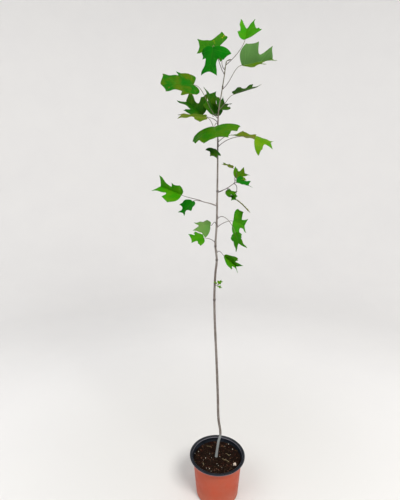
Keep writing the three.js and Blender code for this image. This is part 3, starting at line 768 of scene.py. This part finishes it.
class Paint:
    """A node material put together step by step."""

    def __init__(self, name):
        self.material = bpy.data.materials.new(name)
        self.material.use_nodes = True
        self.tree = self.material.node_tree
        self.tree.nodes.clear()
        self.shader = self.add("ShaderNodeBsdfPrincipled")
        output = self.add("ShaderNodeOutputMaterial")
        self.join(self.shader.outputs[0], output.inputs[0])
        self.colour = None

    def join(self, outgoing, incoming):
        self.tree.links.new(outgoing, incoming)

    def add(self, kind, **settings):
        made = self.tree.nodes.new(kind)
        for key, value in settings.items():
            setattr(made, key, value)
        return made

    def put(self, incoming, value):
        if isinstance(value, bpy.types.NodeSocket):
            self.join(value, incoming)
        else:
            incoming.default_value = value

    def math(self, operation, *values):
        made = self.add("ShaderNodeMath", operation=operation)
        for incoming, value in zip(made.inputs, values):
            self.put(incoming, value)
        return made.outputs[0]

    def plus(self, first, second):
        return self.math("ADD", first, second)

    def minus(self, first, second):
        return self.math("SUBTRACT", first, second)

    def times(self, first, second):
        return self.math("MULTIPLY", first, second)

    def apart(self, value, middle):
        return self.math("ABSOLUTE", self.minus(value, middle))

    def ramp(self, value, low, high, out_low=0.0, out_high=1.0):
        made = self.add("ShaderNodeMapRange", interpolation_type="SMOOTHSTEP")
        for incoming, number in zip(made.inputs, (value, low, high, out_low, out_high)):
            self.put(incoming, number)
        return made.outputs[0]

    def fall(self, value, low, high, most=1.0):
        return self.ramp(value, low, high, most, 0.0)

    def uneven(self, grain, low, high):
        """A value that goes from low to high as the grain does."""
        return self.ramp(grain, 0.3, 0.7, low, high)

    def line(self, off, width, sharp, soft=1.0):
        """One in a line's middle and nothing a width away from it."""
        return self.fall(self.math("DIVIDE", off, width), sharp, soft)

    def mix(self, share, first, second):
        made = self.add("ShaderNodeMix", data_type="RGBA")
        self.put(made.inputs[0], share)
        self.put(made.inputs[6], first)
        self.put(made.inputs[7], second)
        return made.outputs[2]

    def base(self, mask, first, second):
        self.colour = self.mix(mask, first, second)

    def over(self, mask, colour, most=1.0):
        """Lays a colour over what is there, as strongly as the mask says."""
        self.base(self.times(mask, most) if most < 1 else mask, self.colour, colour)

    def place(self, scale=None):
        place = self.add("ShaderNodeTexCoord").outputs["Object"]
        if not scale:
            return place
        made = self.add("ShaderNodeMapping")
        self.join(place, made.inputs["Vector"])
        made.inputs["Scale"].default_value = scale
        return made.outputs[0]

    def texture(self, made, stretch, **values):
        self.join(self.place(stretch), made.inputs["Vector"])
        for key, value in values.items():
            made.inputs[key].default_value = value
        return made.outputs

    def noise(self, scale, detail=3.0, roughness=0.55, stretch=None):
        made = self.add("ShaderNodeTexNoise")
        return self.texture(made, stretch, Scale=scale, Detail=detail, Roughness=roughness)[0]

    def cells(self, scale, feature="F1", stretch=None):
        made = self.add("ShaderNodeTexVoronoi", feature=feature)
        return self.texture(made, stretch, Scale=scale)["Distance"]

    def split(self, vector):
        made = self.add("ShaderNodeSeparateXYZ")
        self.join(vector, made.inputs[0])
        return made.outputs

    def uv(self, name):
        return self.split(self.add("ShaderNodeUVMap", uv_map=name).outputs[0])[:2]

    def height(self):
        return self.split(self.place())[2]

    def bump(self, height, distance, strength=1.0):
        made = self.add("ShaderNodeBump")
        made.inputs["Strength"].default_value = strength
        made.inputs["Distance"].default_value = distance
        self.join(height, made.inputs["Height"])
        self.join(made.outputs[0], self.shader.inputs["Normal"])

    def finish(self, roughness, specular=0.5):
        self.put(self.shader.inputs["Base Color"], self.colour)
        self.put(self.shader.inputs["Roughness"], roughness)
        self.shader.inputs["Specular IOR Level"].default_value = specular
        return self.material


def vein_masks(paint):
    """Masks of a blade's midrib and lobe veins, and of its finer side veins."""
    across, along = paint.uv("plan")
    step, t = paint.uv("fan")
    midrib_width = paint.ramp(along, 0.0, 90.0, 0.9, 0.35)
    main = paint.line(paint.math("ABSOLUTE", across), midrib_width, 0.5)
    width = paint.ramp(t, 0.0, 1.0, 0.5, 0.14)
    for tip in (SIDE_LOBE_STEP, UPPER_LOBE_STEP):
        main = paint.math("MAXIMUM", main, paint.line(paint.apart(step, float(tip)), width, 0.4))
    turn = paint.math("FRACT", paint.plus(paint.math("DIVIDE", step, float(VEIN_STEPS)), 0.5))
    fine = paint.line(paint.times(paint.apart(turn, 0.5), float(VEIN_STEPS)), width, 0.2, 0.9)
    return main, fine, t


def paler(colour, gain, lifts):
    """A colour made brighter by a factor and lifted a little in each channel."""
    return (*(min(1, gain * channel + lift) for channel, lift in zip(colour, lifts)), 1)


def leaf_upper(name, first, second, blemish, blemish_share):
    paint = Paint(name)
    main, fine, t = vein_masks(paint)
    share = paint.ramp(paint.noise(26.0, 4.0), 0.38, 0.66)
    # Painted sheen: on these leaves the first shade covers one half of the blade as a painted highlight
    if name in PAINTED_SHEEN_HALVES:
        uneven = paint.times(share, PAINTED_SHEEN_UNEVEN)
        share = paint.ramp(paint.plus(paint.uv("plan")[0], uneven), *PAINTED_SHEEN_HALVES[name])
    paint.base(share, first, second)
    spots = paint.ramp(paint.noise(90.0, 2.0), 0.74 - 0.22 * blemish_share, 0.84 - 0.16 * blemish_share)
    paint.over(spots, blemish)
    vein = paler(first, *VEIN_PALER)
    paint.over(fine, vein, 0.2)
    paint.over(main, vein, 0.55)
    edge = paint.times(paint.ramp(t, 0.93, 1.0), paint.ramp(paint.noise(60.0, 2.0), 0.45, 0.7))
    paint.over(edge, LEAF_EDGE, 0.6)
    net = paint.ramp(paint.cells(LEAF_NET, "DISTANCE_TO_EDGE"), 0.0, 0.12)
    paint.bump(paint.minus(paint.times(net, 0.25), paint.plus(main, fine)), LEAF_RELIEF, 0.7)
    return paint.finish(paint.uneven(paint.noise(70.0), 0.42, 0.6), LEAF_GLOSS)


def leaf_under(name, base, tint):
    paint = Paint(name)
    main, fine, _ = vein_masks(paint)
    paint.base(paint.ramp(paint.noise(24.0, 4.0), 0.35, 0.7), base, tint)
    vein = paler(base, *UNDER_VEIN_PALER)
    paint.over(fine, vein, 0.35)
    paint.over(main, vein, 0.7)
    net = paint.ramp(paint.cells(LEAF_NET, "DISTANCE_TO_EDGE"), 0.0, 0.12)
    paint.bump(paint.minus(paint.plus(main, fine), net), LEAF_RELIEF, 0.6)
    return paint.finish(paint.uneven(paint.noise(70.0), 0.58, 0.72), LEAF_GLOSS)


def stalk_material(name, foot_colour, blade_colour):
    paint = Paint(name)
    travelled = paint.uv("plan")[0]
    share = paint.plus(paint.ramp(travelled, 4.0, 85.0), paint.times(paint.noise(60.0), 0.3))
    share = paint.math("MINIMUM", paint.minus(share, 0.15), 1.0)
    paint.base(share, foot_colour, blade_colour)
    paint.bump(paint.noise(700.0, 2.0, stretch=(1.0, 1.0, 0.3)), 0.0002, 0.5)
    return paint.finish(paint.uneven(paint.noise(120.0), 0.4, 0.55))


def bark_material():
    paint = Paint("bark")
    height = paint.height()
    streaks = paint.noise(260.0, 4.0, stretch=(1.0, 1.0, 0.12))
    paint.base(paint.ramp(paint.noise(38.0, 4.0), 0.35, 0.68), BARK_BROWN, BARK_GREY)
    paint.over(paint.fall(height, *PALE_ENDS), BARK_PALE)
    paint.over(paint.ramp(height, *YOUNG_STARTS), BARK_YOUNG)
    paint.over(paint.ramp(streaks, 0.5, 0.72, 0.0, 0.45), BARK_DARK)
    for scar in SCARS:
        paint.over(paint.fall(paint.apart(height, scar * MM), 0.001, 0.0045, 0.75), BARK_DARK)
    pore = paint.fall(paint.cells(360.0, stretch=(1.0, 1.0, 0.45)), 0.1, 0.2)
    paint.over(pore, BARK_PORE, 0.6)
    paint.bump(paint.plus(streaks, pore), 0.0004, 0.8)
    return paint.finish(paint.uneven(streaks, 0.62, 0.85), 0.3)


def pot_outside_material():
    paint = Paint("pot_outside")
    paint.base(paint.ramp(paint.noise(16.0, 5.0), 0.35, 0.7), POT_RED, POT_RED_WORN)
    dust = paint.times(paint.fall(paint.height(), 0.0, 0.06, 0.35), paint.noise(45.0, 5.0))
    paint.over(dust, POT_DUST)
    scuffs = paint.ramp(paint.noise(55.0, 6.0, 0.7, (1.0, 1.0, 6.0)), 0.66, 0.74)
    paint.over(scuffs, POT_SCUFF, 0.25)
    paint.bump(paint.noise(1400.0, 2.0), 0.00012, 0.35)
    return paint.finish(paint.uneven(paint.noise(30.0, 4.0), 0.42, 0.6), 0.3)


def pot_inside_material():
    paint = Paint("pot_inside")
    paint.base(paint.ramp(paint.noise(22.0, 5.0), 0.4, 0.7), POT_BLACK, POT_BLACK_WORN)
    height = paint.height()
    # Painted highlight: a grey band round the outer side of the lip, standing in for light on its rounded
    # edge
    low, top = (POT_HEIGHT - RIM_DROP) * MM, POT_HEIGHT * MM
    edge = paint.times(paint.ramp(height, low - 0.0005, low), paint.fall(height, top - 0.0018, top - 0.0011))
    paint.over(edge, POT_RIM_HIGHLIGHT)
    specks = paint.ramp(paint.noise(420.0, 3.0), 0.68, 0.76)
    paint.over(specks, POT_SPECK, 0.35)
    paint.bump(paint.noise(900.0, 2.0), 0.0001, 0.3)
    return paint.finish(paint.uneven(paint.noise(40.0, 4.0), 0.3, 0.5), 0.2)


def compost_material(name, dark, brown):
    paint = Paint(name)
    grain = paint.noise(330.0, 5.0, 0.7)
    paint.base(paint.ramp(grain, 0.38, 0.66), dark, brown)
    paint.over(paint.ramp(paint.noise(75.0, 3.0), 0.56, 0.7, 0.0, 0.7), COMPOST_RED)
    flecks = paint.fall(paint.cells(240.0), 0.16, 0.34)
    some = paint.ramp(paint.noise(110.0, 2.0), 0.48, 0.6)
    paint.over(paint.times(flecks, some), COMPOST_FLECK)
    paint.bump(paint.plus(grain, paint.cells(520.0)), 0.0012, 0.9)
    return paint.finish(paint.uneven(grain, 0.8, 0.97), 0.06)


def loose_material(name, first, second, scale):
    paint = Paint(name)
    grain = paint.noise(scale, 4.0)
    paint.bump(grain, 0.0004, 0.6)
    paint.base(paint.ramp(grain, 0.35, 0.68), first, second)
    return paint.finish(paint.uneven(grain, 0.7, 0.8), 0.35)


def bud_material():
    paint = Paint("buds")
    streaks = paint.noise(500.0, 3.0, stretch=(1.0, 1.0, 0.3))
    paint.base(paint.ramp(streaks, 0.35, 0.7), BUD_BROWN, BUD_GREEN)
    paint.bump(streaks, 0.0003, 0.6)
    return paint.finish(paint.uneven(streaks, 0.4, 0.55))


def studio_material():
    """Paper with painted shade: a little darker near the plant."""
    paint = Paint("studio_paper")
    away = paint.add("ShaderNodeVectorMath", operation="LENGTH")
    paint.join(paint.place(), away.inputs[0])
    paint.base(paint.noise(3.0), STUDIO_PAPER, STUDIO_PAPER_PALE)
    # Painted shade: the paper darkens towards the plant
    paint.base(paint.ramp(away.outputs["Value"], *STUDIO_SHADE_ENDS), STUDIO_PAPER_SHADED, paint.colour)
    return paint.finish(0.9, 0.2)


uppers = {}
unders = {}
for tone, (share, *shades) in TONES.items():
    first, second, blemish, below = (rgb(*shade) for shade in shades)
    tint = tuple(lerp(a, b, UNDER_GREEN) for a, b in zip(below, first))
    uppers[tone] = leaf_upper(f"leaf_{tone}", first, second, blemish, share)
    unders[tone] = leaf_under(f"leaf_{tone}_under", below, tint)
stalks = stalk_material("stalks", *STALK_COLOURS)
young_stalks = stalk_material("young_stalks", *YOUNG_STALK_COLOURS)
bark = bark_material()
bud_skin = bud_material()


def rounded_foot(radius, rounding, base, steps=6):
    turns = [math.pi / 2 * i / steps for i in range(1, steps + 1)]
    return [(radius - rounding + rounding * math.sin(turn), base + rounding * (1 - math.cos(turn)))
            for turn in turns]


def lathe(profile, sides):
    """Turns a profile of (radius, height) about the upright axis; a radius of 0 closes it."""
    corners, faces, rows = [], [], []
    for radius, height in profile:
        if radius == 0:
            rows.append([len(corners)] * sides)
            corners.append(Vector((0, 0, height)))
            continue
        rows.append(range(len(corners), len(corners) + sides))
        for k in range(sides):
            turn = 2 * math.pi * k / sides
            corners.append(Vector((radius * math.cos(turn), radius * math.sin(turn), height)))
    for lower, upper in zip(rows, rows[1:]):
        for k in range(sides):
            following = (k + 1) % sides
            quad = [lower[k], lower[following], upper[following], upper[k]]
            faces.append(tuple(c for i, c in enumerate(quad) if c != quad[i - 1]))
    return corners, faces


def build_pot():
    top, rim_foot, collar_foot = POT_HEIGHT, POT_HEIGHT - RIM_DROP, POT_HEIGHT - COLLAR_HEIGHT
    collar = NECK_RADIUS + COLLAR_STEP
    wall_top = collar_foot - COLLAR_STEP
    flat = FOOT_RADIUS - FOOT_ROUND
    outside = [(0, 1.2), (flat - 9, 1.2), (flat - 7, 0), (flat, 0)]
    outside += rounded_foot(FOOT_RADIUS, FOOT_ROUND, 0)
    for i in range(1, 8):
        outside.append((lerp(FOOT_RADIUS, NECK_RADIUS, i / 8), lerp(FOOT_ROUND, wall_top, i / 8)))
    outside += [
        (NECK_RADIUS - 0.1, wall_top - 0.8), (NECK_RADIUS + 0.3, wall_top + 0.4),
        (collar - 0.6, collar_foot - 0.5), (collar, collar_foot + 0.4),
        (collar + 0.5, (collar_foot + top) / 2), (collar + 0.9, rim_foot - 0.8),
        (collar + 1.6, rim_foot - 0.1), (RIM_RADIUS - 1.6, rim_foot), (RIM_RADIUS - 0.5, rim_foot + 0.3),
    ]
    neck, collar_inside = NECK_RADIUS - WALL, collar - WALL
    inside = [
        (RIM_RADIUS, rim_foot + 1), (RIM_RADIUS, top - 1.1), (RIM_RADIUS - 0.5, top - 0.3),
        (RIM_RADIUS - 1.4, top), (RIM_RADIUS - 2.6, top - 0.2), (RIM_RADIUS - 3.2, top - 0.7),
        (collar + 1.0, top - 0.6), (collar, top - 0.1), (collar - 0.8, top - 0.2),
        (collar_inside, top - 1.4), (collar_inside - 0.3, top - 4),
        (collar_inside - 0.5, collar_foot + 2), (collar_inside - 1.0, collar_foot + 1),
        (neck + 0.5, wall_top + 0.4), (neck, wall_top - 0.8),
    ]
    for i in range(1, 7):
        radius = lerp(NECK_RADIUS, FOOT_RADIUS, i / 7) - WALL
        inside.append((radius, lerp(wall_top, FLOOR + FOOT_ROUND, i / 7)))
    inside += rounded_foot(FOOT_RADIUS - WALL, FOOT_ROUND - WALL, FLOOR)[::-1]
    inside += [(flat, FLOOR), (0, FLOOR)]
    corners, faces = lathe(outside + inside, POT_ROUND)
    shape = Shape()
    shape.add(corners, faces)
    shape.slots = [0 if i // POT_ROUND < len(outside) else 1 for i in range(len(faces))]
    shape.piece("pot_shell", "pot", "pot_plastic", [pot_outside_material(), pot_inside_material()], 40)


def compost_height(x, y):
    radius = math.hypot(x, y)
    edge_top = COMPOST_TOP - COMPOST_FALL
    shoulder = (NECK_RADIUS + HEAP_RADIUS) / 2
    profile = [(0, COMPOST_TOP), (HEAP_RADIUS, COMPOST_TOP), (shoulder, edge_top + COMPOST_FALL / 2),
               (COMPOST_RADIUS - 6, edge_top), (COMPOST_RADIUS, edge_top - 2)]
    for (r0, z0), (r1, z1) in zip(profile, profile[1:]):
        if radius <= r1:
            return lerp(z0, z1, (radius - r0) / (r1 - r0))
    return profile[-1][1]


def build_compost():
    base, wall_top = FLOOR + GAP, POT_HEIGHT - COLLAR_HEIGHT - COLLAR_STEP
    profile = [(0, base), (FOOT_RADIUS - FOOT_ROUND - GAP, base)]
    profile += rounded_foot(FOOT_RADIUS - WALL - GAP, FOOT_ROUND - WALL - GAP, base)
    profile += [(COMPOST_RADIUS, wall_top), (COMPOST_RADIUS, COMPOST_TOP - COMPOST_FALL - 2.5)]
    first_top = 1 + POT_ROUND * (len(profile) - 1)
    profile += [(COMPOST_RADIUS * (1 - i / COMPOST_RINGS), 0) for i in range(COMPOST_RINGS)] + [(0, 0)]
    corners, faces = lathe(profile, POT_ROUND)
    for corner in corners[first_top:]:
        lumps = sum(noise.noise(corner * fine + Vector(shift)) * high for fine, shift, high in COMPOST_LUMPS)
        corner.z = compost_height(corner.x, corner.y) - COMPOST_SETTLED + lumps
    shape = Shape()
    shape.add(corners, faces)
    shape.piece("compost_bed", "compost", "compost",
                [compost_material("compost", COMPOST_DARK, COMPOST_BROWN)], 75)


def ball():
    """Corners and faces of a round form of 80 faces with a radius of one."""
    form = bmesh.new()
    bmesh.ops.create_icosphere(form, subdivisions=2, radius=1)
    corners = [corner.co.copy() for corner in form.verts]
    faces = [tuple(corner.index for corner in face.verts) for face in form.faces]
    form.free()
    return corners, faces


BALL = ball()


def add_lump(shape, x, y, size, stretch, uneven, sink):
    """An uneven lump that is partly sunk into the compost."""
    turn = 2 * math.pi * next(scatter)
    seed = Vector((between(0, 90), between(0, 90), between(0, 90)))
    ground = compost_height(x, y)
    corners = []
    for corner in BALL[0]:
        grown = corner * (1 + uneven * noise.noise(corner * 1.3 + seed))
        grown = Vector((grown.x * stretch[0], grown.y * stretch[1], grown.z * stretch[2])) * size
        across = grown.x * math.cos(turn) - grown.y * math.sin(turn)
        back = grown.x * math.sin(turn) + grown.y * math.cos(turn)
        corners.append(Vector((x + across, y + back, ground + grown.z + size * stretch[2] * (1 - sink))))
    shape.add(corners, BALL[1])


def in_pot(count, reach):
    """Places on the compost, even over its area, clear of the trunk."""
    while count:
        radius = reach * math.sqrt(next(scatter))
        turn = 2 * math.pi * next(scatter)
        x, y = radius * math.cos(turn), radius * math.sin(turn)
        if math.hypot(x - TRUNK_FOOT_RIGHT, y) > TRUNK_CLEARANCE:
            count -= 1
            yield x, y


def add_lumps(shape, places, size, wide, high, uneven, sink):
    """A lump at each place; a size, width or height given as two values is drawn between them."""
    def pick(value):
        return between(*value) if isinstance(value, tuple) else value

    for x, y in places:
        add_lump(shape, x, y, pick(size), (1, pick(wide), pick(high)), uneven, sink)


def build_compost_bits():
    crumbs = Shape()
    bits = {name: Shape() for name in LOOSE_BITS}
    add_lumps(crumbs, in_pot(CRUMBS, CRUMB_REACH), (0.9, 2.6), (0.6, 1), (0.5, 0.9), 0.5, 0.35)
    add_lumps(bits["bark_bits"], in_pot(BARK_BITS, BIT_REACH), (1.6, 3.6), (0.3, 0.6), (0.2, 0.4), 0.4, 0.2)
    add_lumps(bits["perlite"], PERLITE_PLACES, (1.5, 2.2), 0.8, 0.7, 0.35, 0.2)
    add_lumps(bits["perlite"], in_pot(MORE_PERLITE, BIT_REACH), (0.7, 1.3), 0.8, 0.7, 0.35, 0.3)
    add_lumps(bits["pale_stone"], [STONE_PLACE], 6.2, 0.75, 1.15, 0.7, 0.3)
    for (x0, y0), (x1, y1) in STRAWS:
        points = []
        for i in range(STRAW_STEPS + 1):
            share = i / STRAW_STEPS
            x, y = lerp(x0, x1, share), lerp(y0, y1, share)
            lift = STRAW_LIFT + STRAW_ARCH * math.sin(math.pi * share)
            aside = STRAW_BEND * math.sin(4 * share)
            points.append(Vector((x + aside, y, compost_height(x, y) + lift)))
        bits["straws"].add(*limb(points, [STRAW_RADIUS] * len(points), 6)[:2])
    crumbs.piece("compost_crumbs", "compost", "compost",
                 [compost_material("crumbs", CRUMB_DARK, CRUMB_BROWN)], 60)
    for name, (material, first, second, grain, smooth_to) in LOOSE_BITS.items():
        look = loose_material(material, first, second, grain)
        bits[name].piece(name, "compost", "compost", [look], smooth_to)


# Where the trunk swells under the foot of each stalk and shoot: the height and the direction it faces
cushions = []


def add_cushion(height, foot):
    middle = trunk_at(height)
    cushions.append((height, math.atan2(foot.y - middle.y, foot.x - middle.x)))


def trunk_relief(point, turn, radius):
    right, back = math.cos(turn), math.sin(turn)
    if point.z > TRUNK_TOP:
        return -END_BUD_FLATNESS * radius * back ** 2
    rough = sum(depth * noise.noise(Vector((right * round_fine, back * round_fine, point.z * along_fine)))
                for depth, round_fine, along_fine in BARK_UNEVEN)
    lift = 0
    for height, facing in cushions:
        towards = max(0, math.cos(turn - facing))
        lift += CUSHION_LIFT * math.exp(-((point.z - height) / CUSHION_HEIGHT) ** 2) * towards ** 2
    return radius * rough + lift


def build_trunk():
    heights = []
    height = TRUNK_BASE
    while height < TRUNK_TOP:
        heights.append(height)
        height += TRUNK_RINGS_APART
    heights.append(TRUNK_TOP)
    points = [trunk_at(height) for height in heights]
    radii = [trunk_radius(height) for height in heights]
    tip = trunk_at(TRUNK_TOP)
    for share, radius in END_BUD:
        points.append(Vector((tip.x + BUD_REACH * share, tip.y, tip.z + BUD_RISE * math.sqrt(share))))
        radii.append(radius)
    corners, faces, plan = limb(points, radii, TRUNK_ROUND, True, trunk_relief)
    shape = Shape()
    shape.add(corners, faces, plan)
    # After the sides, the faces of the two ends take turns, and only the upper end is the bud's
    side_faces = (len(points) - 1) * TRUNK_ROUND
    for i in range((len(heights) + 2) * TRUNK_ROUND, len(faces)):
        if i < side_faces or (i - side_faces) % 2:
            shape.slots[i] = 1
    shape.piece("trunk_bark", "trunk", "bark", [bark, bud_skin], 60)


def add_bud(shape, height, facing):
    """A small bud on the trunk above a leaf's cushion."""
    out = Vector((math.cos(facing), math.sin(facing), 0))
    foot = trunk_at(height + LEAF_BUD_ABOVE) + out * (trunk_radius(height) - LEAF_BUD_SUNK)
    rising = (out * 0.5 + Vector((0, 0, 0.87))).normalized()
    points = [foot + rising * (LEAF_BUD_LENGTH * share) for share, _ in LEAF_BUD]
    shape.add(*limb(points, [radius for _, radius in LEAF_BUD], LEAF_BUD_SIDES)[:2])


def grow_leaf(name, number, node, leaf, foot, leaving, sunk):
    """A leaf as two pieces: its blade, and its stalk with the ribs under the blade."""
    blade, stalk = Shape(), Shape()
    halves = add_blade(blade, leaf)
    add_stalk(stalk, leaf, foot, leaving, sunk)
    add_ribs(stalk, leaf, halves)
    upper, under = uppers[leaf["tone"]], unders[leaf["tone"]]
    blade.piece(f"{name}_blade{number}", node, "leaf", [upper, under])
    stalk.piece(f"{name}_stalk{number}", node, "leaf", [stalks, under])


def build_spray(node, foot, leaving, spray, radius, stem_look, sunk):
    points = [foot, *(foot + Vector(offset) for offset in spray["stem"])]
    path = smooth_path([foot - leaving * sunk, *points], PATH_STEPS)
    radii = [radius * lerp(1, STEM_THINS, i / (len(path) - 1)) for i in range(len(path))]
    for number, leaf in enumerate(spray["leaves"], 1):
        leaf = {**leaf, "start": foot + Vector(leaf["start"])}
        joint = points[leaf["foot"] + 1]
        towards = ((leaf["start"] - joint).normalized() + leaving).normalized()
        grow_leaf(node, f"_{number}", node, leaf, joint - towards * SUNK_IN_STEM, towards, SUNK_IN_STEM)
    stem = Shape()
    stem.add(*limb(path, radii, STEM_SIDES))
    stem.piece(f"{node}_stem", node, "leaf", [stem_look])


# The leaves come in the order that the seeded sequences need
for name, leaf in TRUNK_LEAVES.items():
    leaf = {**leaf, "start": Vector(leaf["start"]) + Vector((TRUNK_FOOT_RIGHT, 0, 0))}
    foot, leaving = off_trunk(leaf["foot"], leaf["start"], STALK_RADIUS_FOOT, STALK_LEAN)
    add_cushion(leaf["foot"], foot)
    grow_leaf(name, "", f"leaf_{name}", leaf, foot, leaving, SUNK_IN_TRUNK)

for side, shoot in SIDE_SHOOTS.items():
    reach = trunk_at(shoot["height"]) + Vector(shoot["tip"])
    foot, leaving = off_trunk(shoot["height"], reach, SHOOT_RADIUS_FOOT, SHOOT_LEAN)
    add_cushion(shoot["height"], foot)
    bend = foot + leaving * ((reach - foot).length / 2)
    onward = (reach - bend).normalized()
    path = smooth_path([foot - leaving * SUNK_IN_TRUNK, foot, bend, reach + onward * TIP_OVERLAP], PATH_STEPS)
    radii = [lerp(SHOOT_RADIUS_FOOT, SHOOT_RADIUS, max(0, 2 * i / (len(path) - 1) - 1))
             for i in range(len(path))]
    shape = Shape()
    shape.add(*limb(path, radii, SHOOT_SIDES)[:2])
    shape.piece(f"{side}_shoot", f"side_shoot_{side}", "young_bark", [bark], 60)
    build_spray(f"spray_{side}", reach + onward * GAP, onward, shoot, SHOOT_RADIUS, stalks, SUNK_IN_STEM)

sprig_end = trunk_at(SPRIG["height"]) + Vector(SPRIG["stem"][1])
sprig_foot, sprig_leaving = off_trunk(SPRIG["height"], sprig_end, STALK_RADIUS_FOOT, SHOOT_LEAN)
build_spray("sprig_low", sprig_foot, sprig_leaving, SPRIG, STALK_RADIUS, young_stalks, SUNK_IN_TRUNK)

leaf_buds = Shape()
for height, facing in cushions:
    add_bud(leaf_buds, height, facing)
leaf_buds.piece("leaf_buds", "trunk", "young_bark", [bud_skin], 60)
build_trunk()
build_pot()
build_compost()
build_compost_bits()


# A plain pale studio: a round sheet of paper that curves up far behind, open above
def build_studio():
    profile = [(0, 0), (STUDIO_RADIUS / 2, 0), (STUDIO_RADIUS - STUDIO_CURVE, 0)]
    profile += rounded_foot(STUDIO_RADIUS, STUDIO_CURVE, 0, STUDIO_STEPS)
    profile.append((STUDIO_RADIUS, STUDIO_HEIGHT))
    corners, faces = lathe(profile, STUDIO_ROUND)
    sheet = Shape()
    sheet.add(corners, [face[::-1] for face in faces])
    sheet.make("studio", [studio_material()])


def area_light(name, place, aim, size, power, colour):
    light = bpy.data.lights.new(name, "AREA")
    light.shape = "SQUARE"
    light.size = size
    light.energy = power
    light.color = colour
    lamp = place_object(name, light)
    lamp.location = place
    lamp.rotation_euler = (Vector(aim) - Vector(place)).to_track_quat("-Z", "Y").to_euler()


build_studio()
area_light("key", place=(1.1, -1.9, 2.9), aim=(0, 0, 1.1), size=1.2, power=95, colour=(1, 0.98, 0.95))
area_light("fill", place=(-2.0, -1.6, 3.2), aim=(0, 0, 0.9), size=2.4, power=45, colour=(0.95, 0.98, 1))

world = bpy.data.worlds.new("studio_air")
world.use_nodes = True
background = world.node_tree.nodes["Background"]
background.inputs["Color"].default_value = (1, 1, 1, 1)
background.inputs["Strength"].default_value = WORLD_STRENGTH
bpy.context.scene.world = world
bpy.context.scene.view_settings.view_transform = "Standard"

camera_data = bpy.data.cameras.new("camera")
camera_data.lens = CAMERA_LENS
camera_data.sensor_fit = "AUTO"
camera_data.sensor_width = CAMERA_SENSOR
camera_data.shift_y = CAMERA_SHIFT_UP
camera = place_object("camera", camera_data)
camera.location = CAMERA_PLACE
camera.rotation_euler = (math.pi / 2 - CAMERA_PITCH_DOWN, 0, 0)
bpy.context.scene.camera = camera
